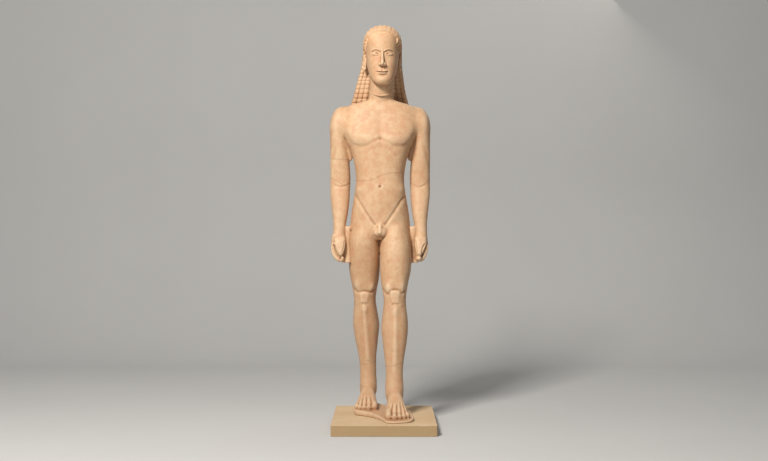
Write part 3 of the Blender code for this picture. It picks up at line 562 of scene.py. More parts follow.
def arm_shapes(side):
    """The arm, the web in the armpit, the hand's core, the strip of stone left between hand and thigh, four
    curled fingers side by side from front to back, the thumb laid over the front, and the stub in the fist."""
    wider = 6 if side == -1 else 0  # the right fist is the broader one
    palm = np.array(PALM) + (0, wider, 0, 0, 0, 0)
    shapes = [stacked(ARM, 110, 72, side), stacked(SHOULDER, 50, 56, side), stacked(WEB, 24, 40, side)]
    shapes += [stacked(palm, 30, 56, side), stacked(BRIDGE, 16, 48, side), stacked(THUMB, 26, 48, side)]
    for number, y in enumerate(FINGERS_AT):
        out, rise = 233 + wider, FIST_RISE * number
        curl = ((out - 13, y + 6, 864), (out - 3, y + 3, 838), (out, y, 806 + rise * 0.6),
                (out - 9, y, 776 + rise), (207, y, 755 + rise), (184, y, 762 + rise))  # fmt: skip
        shapes.append(finger(np.array(curl) * (side, 1, 1), 11.5, 11))
    shapes.append(egg((side * 198, 70, 762), (16, 32, 15)))
    return shapes


def foot_shapes(foot):
    """Upright superellipses from heel to ball, five toes, and the two ankle bones."""
    heel_x, toe_x, heel_y, side, long = foot
    reach, half, top = along(FOOT, 60).T[:, :, None]
    across, up = superellipse(np.linspace(0, 2 * np.pi, 56, endpoint=False)[None, :], 2.3)
    middle = heel_x + (toe_x - heel_x) * reach / 267
    h = np.maximum(top * 0.4 + top * 0.6 * up, -4)
    shapes = [np.stack([middle + half * across, heel_y - reach + 0 * up, h], axis=-1)]
    for out, tip, radius in TOES:
        x, tip = toe_x + side * out, 178 + (tip - 178) * long
        toe = ((x - side * out * 0.16, heel_y - 178, radius * 1.6), (x, heel_y - 215, radius * 1.45),
               (x, heel_y - tip + radius, radius * 0.95), (x, heel_y - tip + radius * 0.3, radius * 0.7))
        shapes.append(finger(toe, radius * 0.97, radius * 0.93))
    for out, lift in ((-35, 92), (36, 80)):
        shapes.append(egg((heel_x + side * out, heel_y - 62, lift), (11, 17, 17)))
    return shapes


def foot_block_shape():
    """The block's outline in plan, carried up from the slab and drawn in at its top edge."""
    outline = along(FOOT_BLOCK + FOOT_BLOCK[:1], 8 * len(FOOT_BLOCK) + 1)[:-1]
    middle = outline.mean(axis=0)
    rows = [(-BLOCK_THICK, 0.992), (-23, 1.0), (-8, 1.0), (-3, 0.994), (-0.5, 0.98), (0, 0.955)]
    rings = [(middle + (outline - middle) * share, np.full(len(outline), h)) for h, share in rows]
    return np.array([np.column_stack(ring) for ring in rings])


def join_weight(points):
    """How strongly the skin is smoothed: most where limbs meet the trunk, least on hands, feet and block."""
    weight = np.full(len(points), 0.16)
    for side in (1, -1):
        weight += 0.8 * bell(points, (side * 178, 150, 1470), (60, 130, 120))
        weight += 0.6 * bell(points, (side * 90, 30, 930), (80, 60, 60))
        weight += 0.6 * bell(points, (side * 80, 230, 900), (70, 70, 60))
        weight -= 0.12 * bell(points, (side * 205, 90, 800), (90, 110, 100))
    weight += 0.75 * bell(points, (0, 120, 1575), (110, 110, 40))
    weight += 0.5 * bell(points[:, 2:], (104,), (34,)) - 0.12 * bell(points[:, 2:], (20,), (50,))
    weight -= 0.1 * bell(points, (0, 0, 900), (40, 60, 50))
    return np.clip(weight, 0.03, 0.9)


IN_FRONT = (-FAR, 120)  # spans along y
BEHIND_AXIS = (120, FAR)


def carve_trunk(points, facing):
    """Breast, belly, groin, shoulder blades, spine and buttocks."""
    swell_both(points, (76, 275, 985), (56, 70, 66), (2, 15, 0))  # buttock
    swell_both(points, (92, 0, 1385), (66, 60, 38), (0, -4, 0))  # breast
    swell_both(points, (118, 265, 1425), (48, 50, 52), (0, 8, 0))  # shoulder blade
    swell_both(points, (44, 215, 1160), (26, 50, 120), (0, 6, 0))  # long muscle of the back
    swell_both(points, (124, 20, 1116), (34, 60, 24), (5, -8, 0))  # roll over the hip bone
    swell(points, (0, 0, 1050), (72, 50, 62), (0, -4, 0))  # belly
    swell(points, (0, 0, 1225), (70, 50, 60), (0, 2.5, 0))  # hollow under the ribs
    swell_both(points, (178, 60, 1395), (16, 60, 40), (0, 3, 0))  # dip between breast and shoulder
    swell(points, (216, 150, 1516), (34, 90, 34), (0, 0, -8))  # the left shoulder is the lower one
    breast = ((172, 1392), (158, 1362), (138, 1341), (108, 1331), (76, 1333), (48, 1344), (24, 1359), (0, 1371))
    groin = ((150, 1112), (132, 1088), (104, 1048), (74, 1002), (46, 962), (27, 938))
    blade = ((158, 1356), (138, 1358), (108, 1366), (82, 1381), (66, 1404), (60, 1440))
    waist = ((128, 1128), (90, 1112), (46, 1098), (8, 1092))
    under_buttock = ((14, 868), (50, 858), (86, 862), (118, 882))
    for side, deep in ((1, 3.6), (-1, 1.5)):
        furrows(points, facing, side, (
            ("front", breast, 11, 3.0, IN_FRONT), ("front", groin, 8, 5, IN_FRONT),
            ("back", blade, 6, deep, (180, FAR), 0.3), ("back", waist, 9, 1.8),
            ("back", under_buttock, 15, 2.5, BEHIND_AXIS),
        ))  # fmt: skip
    middle = ((0, 1500), (0, 1440), (0, 1371), (0, 1290), (0, 1200), (0, 1135))
    spine = ((0, 1500), (0, 1400), (0, 1300), (0, 1200), (0, 1070))
    furrows(points, facing, 1, (("front", middle, 14, 1.6), ("back", spine, 15, 6)))
    for top, wide, deep in ((1080, 22, 5), (1050, 12, 10)):  # the cleft, deeper as it goes down
        furrow(points, facing, "back", ((0, 790), (0, 860), (0, 960), (0, top)), wide, deep, taper=0.85)
    swell(points, (0, 5, 1126), (6, 30, 6), (0, 8, 0))  # navel
    swell_both(points, (12, 15, 1130), (8, 40, 8), (0, -1.2, 0))


def carve_arm(points, facing, side):
    """The muscles of the upper arm, the elbow's arch and the forearm's edges."""
    swell(points, (side * 232, 150, 1430), (30, 60, 60), (side * 3, 0, 0))
    swell(points, (side * 206, 100, 1290), (30, 40, 60), (0, -4, 0))
    arch = ((252, 1164), (238, 1182), (212, 1192), (186, 1186), (166, 1166))
    furrows(points, facing, side, (("back", arch, 5, 4, BEHIND_AXIS),))
    swell(points, (side * 210, 206, 1160), (20, 40, 24), (0, 5, 0))
    outer_edge = ((228, 1150), (224, 1080), (216, 1000), (212, 930))
    inner_edge = ((184, 1150), (184, 1080), (190, 1000), (196, 930))
    bend = ((156, 1146), (176, 1136), (204, 1132), (232, 1140))
    furrows(points, facing, side, (
        ("back", outer_edge, 8, -2, (60, FAR)), ("back", inner_edge, 8, -2, (60, FAR)),
        ("front", bend, 5, 2.4, (0, 160)),
    ))  # fmt: skip
    outer = "left" if side == 1 else "right"
    beyond = (150, FAR) if side == 1 else (-FAR, -150)
    furrow(points, facing, outer, ((96, 1330), (128, 1250), (150, 1180)), 9, 2.5, beyond, taper=0.5)


def carve_hand(points, facing, side):
    """The gaps between the fingers and beside the thumb, the knuckles, the wrist bone and the right fist's lost
    stub.
    """
    outer = "left" if side == 1 else "right"
    beyond = (190, FAR) if side == 1 else (-FAR, -190)
    for number, (y, other) in enumerate(zip(FINGERS_AT[:-1], FINGERS_AT[1:])):
        y, rise = (y + other) / 2, FIST_RISE * (number + 0.5)
        gap = ((y + 5, 800 + rise), (y + 2, 781 + rise), (y - 3, 754 + rise))
        furrow(points, facing, outer, gap, 3.0, 5, beyond)
        furrow(points, facing, "below", mirrored(((240, y), (210, y), (184, y)), side), 2.6, 4, (700, 800))
        swell(points, (side * 244, y - 8, 824 + rise * 0.5), (10, 7, 10), (side * 2, 0, 0))  # knuckle
    beside_thumb, under_wrist = ((66, 830), (63, 806), (60, 780)), ((124, 902), (138, 887), (150, 895))
    furrow(points, facing, outer, beside_thumb, 3.5, 6, beyond)
    edge = ((233, 826), (222, 805), (212, 784)) if side == -1 else ((227, 834), (216, 812), (213, 784))
    furrow(points, facing, "front", mirrored(edge, side), 3.8, 5.5, (0, 92))
    furrow(points, facing, "front", mirrored(((180, 850), (183, 824), (190, 798)), side), 4, 2.5, (0, 92))
    if side == -1:
        swell(points, (-203, 40, 763), (9, 26, 9), (0, 24, 0))  # where the stub's end is lost
    furrow(points, facing, outer, under_wrist, 4, 3.5, beyond)
    swell(points, (side * 218, 143, 908), (14, 15, 14), (side * 2, 4, 0))


def carve_leg(points, facing, leg, side, knee):
    """Thigh muscle over the knee on both sides, crease, kneecap, shin edge, calf, tendon and ankle."""
    x, front, back = leg[6][1], leg[6][3], leg[6][4]
    span, behind = (-FAR, (front + back) / 2), ((front + back) / 2, FAR)
    limb = (side * 2, side * 170) if side == 1 else (-170, -2)
    swell(points, (x - side * 34, front + 12, 616), (20, 40, 27), (-side * 4, -9, 0))
    swell(points, (x + side * 38, front + 16, 628), (20, 42, 34), (side * 3, -8, 0))
    furrow(points, facing, "front", knee["crease"], 7, 4.4, span)
    plateau(points, facing, "front", knee["cap"], 3.6, 8.5, span)
    furrow(points, facing, "front", knee["notch"], 5, 2.5, span)
    swell(points, (x, front, 497), (15, 36, 17), (0, -4, 0))
    furrow(points, facing, "front", knee["shin"], 14, -3, span, taper=0.3)
    for out in (-1, 1):
        beside_shin = [(a + out * 23, h) for a, h in knee["shin"]]
        furrow(points, facing, "front", beside_shin, 13, 1.0, span, taper=0.3)
    swell(points, (x, back, 556), (22, 36, 52), (0, -4, 0))
    for out in (-1, 1):
        swell(points, (x + out * 27, back + 10, 440), (22, 46, 62), (0, 5, 0))
        edge = [(x + out * 25, 590), (x + out * 27, 556), (x + out * 24, 520)]
        furrow(points, facing, "back", edge, 9, -1.2, behind)
    furrow(points, facing, "back", ((x - 46, 588), (x - 16, 583), (x + 18, 583), (x + 46, 588)), 6, 0.7)
    furrow(points, facing, "back", ((x, 510), (x, 440), (x - side * 2, 370)), 14, 1.4, behind, 0.5)
    ankle_x, heel = leg[15][1], leg[15][4]
    for out, view in ((1, "left"), (-1, "right")):
        keep = (ankle_x, FAR) if out == 1 else (-FAR, ankle_x)
        keep = (max(keep[0], limb[0]), min(keep[1], limb[1]))
        hollow = ((heel - 26, 40), (heel - 28, 90), (heel - 31, 150), (heel - 38, 240))
        furrow(points, facing, view, hollow, 15, 2.4, keep, taper=0.7)
        tendon = [(ankle_x + out * wide, h) for wide, h in ((15, 60), (13, 140), (15, 240))]
        furrow(points, facing, "back", tendon, 9, -0.6)


RIGHT_KNEE = {
    "crease": ((-139, 608), (-118, 592), (-98, 592), (-83, 595), (-62, 592), (-44, 589), (-20, 606)),
    "cap": ((-106, 586), (-98, 592), (-64, 592), (-56, 586), (-62, 560), (-68, 538), (-82, 532), (-96, 538),
            (-102, 562)),
    "notch": ((-92, 528), (-82, 534), (-72, 528)),
    "shin": ((-82, 512), (-76, 420), (-70, 330), (-63, 240), (-60, 170)),
}  # fmt: skip
LEFT_KNEE = {
    "crease": ((12, 606), (36, 586), (56, 603), (76, 608), (100, 602), (113, 590), (140, 611)),
    "cap": ((51, 596), (60, 604), (92, 604), (101, 596), (96, 566), (92, 544), (78, 537), (64, 544),
            (56, 568)),
    "notch": ((62, 534), (78, 539), (92, 534)),
    "shin": ((77, 512), (76, 420), (75, 330), (73, 240), (72, 160)),
}  # fmt: skip


def carve_foot(points, facing, foot):
    """The grooves between the toes that run up the instep, the nails and the arch."""
    heel_x, toe_x, heel_y, side, long = foot
    gaps = [(a[0] + b[0]) / 2 for a, b in zip(TOES[:-1], TOES[1:])]
    for number, out in enumerate(gaps):
        x = toe_x + side * out
        front = heel_y - 178 - (min(TOES[number][1], TOES[number + 1][1]) - 178) * long
        line = ((x, front + 5), (x, front + 22), (x - side * out * 0.1, heel_y - 200),
                (x - side * out * 0.3, heel_y - 168))  # fmt: skip
        furrow(points, facing, "above", line, 3.6, 5.5, (5, 70), taper=0.4)
    for out, tip, radius in TOES:
        x, tip = toe_x + side * out, heel_y - 178 - (tip - 178) * long
        wide, tall = radius * 0.58, radius * 0.95
        corners = ((-1, 1), (1, 1), (0.95, -0.9), (-0.95, -0.9))
        nail = [(x + wide * a, tip + radius * 0.75 + tall * b) for a, b in corners]
        plateau(points, facing, "above", nail, 0.9 if side == 1 else 0.4, 1.6, (4, 60))
        root = [(x + wide * a, nail[0][1] + lift) for a, lift in ((-1, 2), (0, 4), (1, 2))]
        furrow(points, facing, "above", root, 1.8, 1.0, (4, 60))
    swell(points, (heel_x - side * 38, heel_y - 118, 8), (16, 46, 16), (side * 9, 0, 0))  # arch


def carve_wear(points, facing):
    """Chips and losses, then the unevenness of a hand-finished, weathered skin."""
    for centre, reach, depth in (
        ((84, 0, 1283), (9, 30, 6), 3.2), ((76, 0, 1292), (5, 30, 4), 2.2), ((-20, 0, 1500), (9, 30, 6), 1.6),
        ((30, 250, 1218), (10, 40, 5), 2.4), ((12, 250, 1210), (14, 40, 4), 2.0),
        ((-132, 60, 508), (10, 30, 9), 2.5), ((120, -30, 520), (8, 30, 8), 2.5),
        ((226, 200, 1140), (9, 30, 12), 2.5), ((-226, 100, 1180), (8, 30, 8), 2),
        ((60, -60, 300), (10, 30, 8), 2), ((-60, 140, 228), (9, 30, 7), 2), ((-236, 60, 850), (8, 14, 8), 2.5),
        ((150, 120, 560), (8, 14, 12), 2), ((-70, 30, 700), (10, 30, 7), 1.5), ((92, -90, 120), (7, 16, 6), 1.5),
    ):  # fmt: skip
        near = (np.abs(points - np.array(centre, float)) < 3 * np.array(reach, float)).all(axis=-1)
        share = bell(points[near], centre, reach) * (1 + 0.5 * ripple(points[near], 7, 21))
        points[near] -= facing[near] * (share * depth)[:, None]
    worn = 0.45 * ripple(points, 46, 31) + 0.3 * ripple(points, 17, 32) + 0.16 * ripple(points, 8, 33)
    pits = np.clip(ripple(points, 9, 34) * 1.4 - 0.72, 0, 1) * np.clip(ripple(points, 90, 35) + 0.5, 0, 1)
    dressed = np.clip((6 - points[:, 2]) / 6, 0, 1) * np.clip((points[:, 2] + 23) / 4, 0, 1)  # the foot block
    points += facing * (worn - 1.3 * pits + 1.2 * dressed * ripple(points, 24, 36))[:, None]


# Breaks, each as the side it is seen from, its line, and the range along the axis of sight that it runs in
BREAKS = (
    ("front", ((-132, 1160), (-90, 1156), (-58, 1155), (-22, 1167), (22, 1188), (58, 1194), (132, 1196)),
     (-99, 110)),
    ("back", ((132, 1186), (60, 1177), (0, 1175), (-60, 1175), (-132, 1168)), (110, 400)),
    ("front", ((150, 1134), (178, 1128), (206, 1130), (236, 1150), (262, 1172)), (0, 160)),
    ("back", ((262, 1172), (236, 1182), (206, 1188), (176, 1178), (150, 1150)), (160, 400)),
    ("front", ((-262, 1176), (-230, 1164), (-190, 1140), (-150, 1130)), (0, 160)),
    ("back", ((-262, 1176), (-236, 1184), (-206, 1190), (-176, 1178), (-150, 1150)), (160, 400)),
    ("front", ((-262, 1276), (-210, 1270), (-165, 1268)), (0, 160)),
    ("front", ((18, 222), (60, 226), (100, 238), (122, 236)), (-99, 10)),
    ("back", ((18, 222), (60, 214), (100, 220), (122, 236)), (10, 110)),
    ("front", ((-120, 226), (-92, 214), (-60, 216), (-20, 222)), (100, 200)),
    ("back", ((-120, 226), (-92, 224), (-60, 222), (-20, 222)), (200, 300)),
)


def fine_work(points):
    """1 where the mesh has to stay fine: along the breaks, on fists and toes; elsewhere 0."""
    fine = hairlines(points, 5.0) > 0.05
    for side in (1, -1):
        fine |= (np.abs(points - (side * 210, 90, 800)) < (60, 75, 62)).all(axis=1)
    fine |= (np.abs(points - (0, -190, 20)) < (130, 85, 34)).all(axis=1)
    fine |= (np.abs(points - (-70, 40, 20)) < (75, 75, 34)).all(axis=1)
    return fine.astype(float)


def hairlines(points, reach=2.6):
    """How near each point is to a mended break, 1 on it, from its distance to the break's line as seen."""
    share = np.zeros(len(points))
    for seen, line, span in BREAKS:
        axes, sight, _ = SEEN[seen]
        line = along(line, 6 * len(line))
        flat = points[:, axes]
        near = (flat > line.min(axis=0) - 12).all(axis=1) & (flat < line.max(axis=0) + 12).all(axis=1)
        near &= (points[:, sight] > span[0]) & (points[:, sight] < span[1])
        ragged = flat[near] + 1.6 * ripple(points[near], 30, 41)[:, None]
        share[near] = np.maximum(share[near], np.exp(-((distance(ragged, line) / reach) ** 2)))
    return share


def sheltered(points, facing, edges):
    """From 0 to 1 how deep in a hollow each point lies: how far the mean of its neighbourhood stands out before
    it, for a narrow and a wide one; and, the other way round, how far the point stands proud."""
    weight = np.full(len(points), 0.9)
    near = smoothed(points, edges, weight, 12)
    far = smoothed(near, edges, weight, 80)
    narrow, wide = ((near - points) * facing).sum(axis=1), ((far - points) * facing).sum(axis=1)
    return np.clip((narrow - 0.25) / 1.5 + wide / 12, 0, 1), np.clip(-narrow - wide / 14, 0, 1)


def marble():
    """Cream to beige clouds, a reddish mottled skin, darker on the legs, brown earth and painted shade in the
    hollows, paler where it is rubbed, with a fine crystalline grain."""
    material, tree, shader, where = stone("weathered_marble")
    hollow, proud, mend = (kept_share(tree, name) for name in ("hollow", "proud", "mend"))
    broad, middling = cloud(tree, where, 3.4, 5, 0.6), cloud(tree, where, 15.0, 7, 0.66)
    small, grain = cloud(tree, where, 85.0, 5, 0.7), cloud(tree, where, 420.0, 3, 0.75)
    streak = cloud(tree, where, 11.0, 5, 0.6, (1.0, 1.0, 0.28))
    colour = paint(tree, steps(tree, broad, 0.34, 0.64), (0.583, 0.362, 0.203), (0.69, 0.460, 0.276))
    for pattern, low, high, most, shade in (
        (middling, 0.42, 0.76, 0.60, (0.56, 0.33, 0.18)), (streak, 0.52, 0.74, 0.40, (0.52, 0.33, 0.175)),
        (small, 0.54, 0.70, 0.42, (0.48, 0.275, 0.145)), (small, 0.44, 0.28, 0.35, (0.79, 0.605, 0.415)),
    ):  # fmt: skip
        colour = paint(tree, steps(tree, pattern, low, high, 0, most), colour, shade)
    height = node(tree, "SeparateXYZ", {"Vector": where}).outputs["Z"]
    legs = times(tree, steps(tree, height, 0.85, 0.25), steps(tree, broad, 0.25, 0.6, 0.5, 1.0))
    colour = paint(tree, times(tree, legs, 0.55), colour, (0.44, 0.262, 0.140))
    blotch = times(tree, legs, steps(tree, cloud(tree, where, 26.0, 6, 0.75), 0.48, 0.74))
    colour = paint(tree, times(tree, blotch, 0.5), colour, (0.33, 0.19, 0.10))
    red = times(tree, cloud(tree, where, 6.0, 6, 0.7), steps(tree, cloud(tree, where, 34.0, 4), 0.3, 0.62))
    colour = paint(tree, steps(tree, red, 0.20, 0.52, 0, 0.60), colour, (0.55, 0.275, 0.15))
    colour = paint(tree, steps(tree, proud, 0.25, 1.0, 0, 0.45), colour, (0.79, 0.61, 0.42))
    colour = paint(tree, steps(tree, grain, 0.3, 0.7, 0, 0.14), colour, (0.42, 0.28, 0.17))
    # Brown earth and painted shade: the deeper a point lies in a hollow, the darker it is painted
    earth_and_shade = times(tree, steps(tree, hollow, 0.12, 0.95), steps(tree, middling, 0.25, 0.6, 0.55, 1.0))
    colour = paint(tree, times(tree, earth_and_shade, 0.72), colour, (0.27, 0.135, 0.06))
    colour = paint(tree, times(tree, mend, 0.34), colour, (0.25, 0.14, 0.075))
    tree.links.new(colour, shader.inputs["Base Color"])
    rough = steps(tree, small, 0.3, 0.7, 0.50, 0.66)
    tree.links.new(times(tree, rough, times(tree, earth_and_shade, 0.2), "ADD"), shader.inputs["Roughness"])
    shader.inputs["Specular IOR Level"].default_value = 0.38
    pits = node(tree, "TexVoronoi", {"Vector": where, "Scale": 190.0}).outputs["Distance"]
    pitted = times(tree, steps(tree, pits, 0.2, 0.05), steps(tree, middling, 0.48, 0.6))
    layers = (small, 0.0011, 0.55), (grain, 0.0003, 0.6), (pitted, -0.0010, 0.6), (mend, -0.0012, 0.6)
    roughen(tree, shader, *layers)
    return material


def carved_piece(name, mesh, triangles):
    """The mesh as a piece, thinned to this many triangles, with its hollow, proud and mended places."""
    points, facing = read(mesh, "points"), read(mesh, "facing")
    for kept, values in zip(("hollow", "proud"), sheltered(points, facing, read(mesh, "edges"))):
        keep_share(mesh, kept, values)
    if triangles < 2 * len(mesh.polygons):
        plain = np.flatnonzero(fine_work(points) < 0.5)
        mesh = with_modifier(mesh, "DECIMATE", plain, ratio=triangles / (2 * len(mesh.polygons)))
        points = read(mesh, "points")
    piece = finished(name, mesh, MARBLE)
    keep_share(mesh, "mend", hairlines(points))
    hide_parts("kouros")


def band_height(ahead):
    """Height of the neckband where it faces so far ahead, from 1 in front to -1 behind."""
    return 1620 - 16.5 * ahead - 12.5 * ahead**2


NECKBAND = (8, 125, 64, 84)  # middle x, middle y, half width, half depth
NECK_AXIS = (9.0, 122.0)
LAP = 4  # height over which head and figure pass into each other behind the neckband


def above_band(points):
    """How far above the neckband's middle each point lies, in laps."""
    _, middle, _, deep = NECKBAND
    return (points[:, 2] - band_height(np.clip((middle - points[:, 1]) / deep, -1, 1))) / LAP


def drawn_in(points, share):
    """Draws the neck in towards its axis by this share of 3 mm, so that it passes inside the other piece."""
    away = points[:, :2] - np.array(NECK_AXIS)
    points[:, :2] -= away * (3.0 * share / np.maximum(np.linalg.norm(away, axis=1), 20))[:, None]


DROP = 14  # how much lower the left foot's toes lie than its heel
DROP_START = -20  # y where it begins to fall
DROP_REACH = 230  # how far ahead of that it has fallen by all of it
DROP_TOP = 95  # height from which up nothing is lowered


def settled(points):
    """Lowers the left foot towards its toes, most at the sole, with the top of the block under it."""
    ahead = np.maximum((DROP_START - points[:, 1]) / DROP_REACH, 0)
    low = np.clip((DROP_TOP - points[:, 2]) / DROP_TOP, 0, 1)
    in_block = np.clip(1 + points[:, 2] / BLOCK_THICK, 0, 1)
    points[:, 2] -= DROP * ahead * low**2 * (3 - 2 * low) * in_block


def make_figure():
    shapes = [stacked(TORSO, 120, 160), stacked(NECK, 60, 90)[:38]]
    shapes += [egg((side * 14, 16, 896), (18, 16, 21)) for side in (1, -1)]
    shapes.append(finger(((0, 16, 936), (0, 5, 918), (0, 0, 898), (0, -2, 884)), 10, 8.5))
    shapes += arm_shapes(1) + arm_shapes(-1)
    shapes += [stacked(LEFT_LEG, 120, 96), stacked(RIGHT_LEG, 120, 96)]
    shapes += foot_shapes(LEFT_FOOT) + foot_shapes(RIGHT_FOOT) + [foot_block_shape()]
    mesh = fused(shapes, BODY_GRAIN)
    points = read(mesh, "points")
    edges = read(mesh, "edges")
    points = smoothed(points, edges, join_weight(points), 36)
    melted = sum(bell(points, (side * 186, 80, 1475), (36, 50, 60)) for side in (1, -1))
    melted += sum(bell(points, (side * 176, 235, 1450), (36, 34, 80)) for side in (1, -1))
    heels = [(foot[0], foot[2]) for foot in (LEFT_FOOT, RIGHT_FOOT)]
    melted += sum(bell(points, (x, y - 5, 86), (50, 40, 28)) for x, y in heels)
    points = smoothed(points, edges, 0.9 * np.minimum(melted, 1), 130)
    write(mesh, points)
    facing = read(mesh, "facing")
    carve_trunk(points, facing)
    for side in (1, -1):
        carve_arm(points, facing, side)
        carve_hand(points, facing, side)
    carve_leg(points, facing, LEFT_LEG, 1, LEFT_KNEE)
    carve_leg(points, facing, RIGHT_LEG, -1, RIGHT_KNEE)
    carve_foot(points, facing, LEFT_FOOT)
    carve_foot(points, facing, RIGHT_FOOT)
    carve_wear(points, facing)
    settled(points)
    points[:, 2] = np.maximum(points[:, 2], -BLOCK_THICK)
    drawn_in(points, np.clip(above_band(points), 0, 1))
    write(mesh, points)
    carved_piece("figure", mesh, FIGURE_TRIANGLES)


MARBLE = marble()
make_figure()

# The head and the upper neck
# Carved from the same block as the body, down to the neckband. A long oval head with a calm, even face, almond
# eyes under arched brows, a straight nose, closed lips, and ears set flat and high against the hair.

HEAD_GRAIN = 1.55
HEAD_TRIANGLES = 170000
HEAD_MIDDLE = 12  # the head stands this far to the figure's left
HEAD = (
    (1642, 12, 22, -6, 22, 2.2), (1648, 12, 34, -14, 46, 2.3), (1660, 12, 47, -19, 78, 2.3),
    (1680, 12, 59, -20, 110, 2.3), (1705, 12, 69, -20, 150, 2.3), (1735, 12, 77, -20, 180, 2.3),
    (1770, 12, 82, -20, 200, 2.3), (1805, 12, 84, -24, 208, 2.3), (1840, 12, 84, -23, 208, 2.4),
    (1870, 12, 82, -18, 203, 2.4), (1895, 12, 76, -8, 192, 2.4), (1915, 12, 66, 8, 174, 2.3),
    (1930, 12, 50, 34, 148, 2.2),
)  # fmt: skip
NOSE = (
    (1814, 12, 7, -26, 0, 2.0), (1792, 12, 7.5, -33, 0, 2.0), (1766, 12, 9.5, -43, 0, 2.0),
    (1747, 12, 12, -51, 0, 2.0), (1736, 12, 12, -50, 0, 2.0), (1730, 12, 9, -41, 0, 2.0),
)  # fmt: skip
EYE = (34, 1793)  # how far out from the face's middle, and height
UPPER_LID = ((-17.5, -2.5), (-9, 4.5), (1, 7.3), (11, 4.8), (19, -1))
LOWER_LID = ((-17.5, -2.5), (-8, -6.8), (2, -8), (11, -5.6), (19, -1))
EAR_PLACE = (102, 142, 1770)


def oval_at(h):
    """Half width, front, back and squareness of the head's section at height h."""
    table = along(HEAD, 400)
    return (np.interp(h, table[:, 0], table[:, i]) for i in (2, 3, 4, 5))


def face_depth(x, h):
    """The y of the face's plain oval at x from the head's middle and height h."""
    half, front, back, square = oval_at(h)
    share = (1 - np.clip(np.abs(x) / half, 0, 0.99) ** square) ** (1 / square)
    return (front + back) / 2 - (back - front) / 2 * share


def head_width(y, h):
    """How far out from the head's middle its plain side lies at y and height h."""
    half, front, back, square = oval_at(h)
    share = np.clip(np.abs(2 * y - front - back) / (back - front), 0, 0.99)
    return half * (1 - share**square) ** (1 / square)


def on_face(line, out, side=1):
    """A line given as x from the face's middle and height, laid on the face and lifted out by this much."""
    x, h = np.array(line, float).T
    return np.column_stack([HEAD_MIDDLE + side * x, face_depth(x, h) - out, h])


def ear_shapes(side):
    x, y, h = EAR_PLACE
    base = HEAD_MIDDLE + side * (x - 12)

    def curl(line, start, end, out):
        path = [(base + side * (out + 0.10 * dy), y + dy, h + dh) for dy, dh in line]
        return finger(path, start, end, rows=41)

    rim = ((-15, 14), (-14, 32), (-2, 46), (13, 42), (21, 22), (19, 0), (10, -20), (0, -34))
    fold = ((-8, 30), (3, 32), (9, 20), (9, 4), (2, -10), (-8, -14))
    lobe = ((-6, -22), (-8, -34), (-3, -40))
    tragus = ((-17, 4), (-14, -8), (-14, -18))
    return [egg((base - side * 3, y, h), (8, 20, 42)), curl(rim, 4.4, 4.2, 5.5), curl(fold, 3.4, 3.0, 5.5),
            curl(lobe, 7, 6, 3.5), curl(tragus, 4.2, 3.6, 4)]  # fmt: skip


def carve_face(points, facing):
    """Nostrils, philtrum, the parting of the lips and the corners of the mouth."""
    middle = HEAD_MIDDLE
    for side in (1, -1):
        swell(points, (middle + side * 7, -40, 1729), (3.6, 6, 4), (0, 0, 5))
        swell(points, (middle + side * 28, -12, 1701), (5, 14, 5), (0, 2.6, 0))
        wing = on_face(((20, 1748), (22, 1738), (19, 1730)), 0, side)[:, [0, 2]]
        furrow(points, facing, "front", wing, 2.6, 1.8, (-60, 20))
        above = on_face(((12, 1799), (22, 1807), (36, 1809.5), (52, 1804)), 0, side)[:, [0, 2]]
        furrow(points, facing, "front", above, 3.0, 2.2, (-60, 30))
    furrow(points, facing, "front", ((middle, 1728), (middle, 1709)), 3, 1.6, (-60, 20))
    parting = [(middle + x, h) for x, h in ((-26, 1702), (-12, 1700), (0, 1699), (12, 1700), (26, 1702))]
    furrow(points, facing, "front", parting, 2.1, 4.2, (-60, 20))


def make_head():
    middle = HEAD_MIDDLE
    skull = fused([stacked(HEAD, 90, 140), stacked(NECK, 60, 90)], 2.2)
    points = read(skull, "points")
    points = smoothed(points, read(skull, "edges"), np.full(len(points), 0.4), 10)
    for side in (1, -1):
        swell(points, (middle + side * 35, -14, 1794), (20, 30, 10), (0, 8, 0))  # eye socket
        swell(points, (middle + side * 47, 4, 1752), (25, 40, 24), (side * 2, -4, 0))  # cheek
    swell(points, (middle, -20, 1683), (26, 24, 7), (0, 3.5, 0))  # hollow under the lips
    swell(points, (middle, -14, 1664), (20, 26, 12), (0, -5, 0))  # chin
    swell(points, (middle, -20, 1706), (30, 24, 14), (0, -3, 0))  # the jaw stands forward behind the lips
    write(skull, points)
    shapes = [stacked(NOSE, 40, 40)]
    for side in (1, -1):
        x, h = EYE
        depth = float(face_depth(x, h))
        shapes.append(egg((middle + side * (x + 0.5), depth + 12, h - 0.5), (19, 13.5, 9.5)))
        for lid, radius in ((UPPER_LID, 1.9), (LOWER_LID, 1.6)):
            line = np.array(lid) + (x, h)
            out = 1.0 - 2.4 * np.abs((line[:, 0] - x) / 19) ** 2
            shapes.append(finger(on_face(line, out, side), radius, radius))
        shapes.append(finger(on_face(((7, 1804), (20, 1812), (38, 1815), (58, 1808)), 0.6, side), 3.6, 3.0))
        shapes.append(egg((middle + side * 12.5, -30, 1738.5), (7.5, 12, 8)))
        shapes.append(egg((middle + side * 10, -20, 1705), (15, 8.5, 4.6)))
        shapes += ear_shapes(side)
    shapes.append(egg((middle, -19, 1694.5), (20, 9, 5.6)))
    mesh = fused(shapes, HEAD_GRAIN, skull)
    points = read(mesh, "points")
    weight = 0.28 + 0.4 * bell(points, (middle, 120, 1640), (90, 110, 30))
    points = smoothed(points, read(mesh, "edges"), np.clip(weight, 0.1, 0.7), 9)
    write(mesh, points)
    facing = read(mesh, "facing")
    carve_face(points, facing)
    drawn_in(points, np.clip(-above_band(points), 0, 1))
    points += facing * (0.28 * ripple(points, 38, 51) + 0.16 * ripple(points, 9, 52))[:, None]
    write(mesh, points)
    carved_piece("head", mesh, HEAD_TRIANGLES)


make_head()

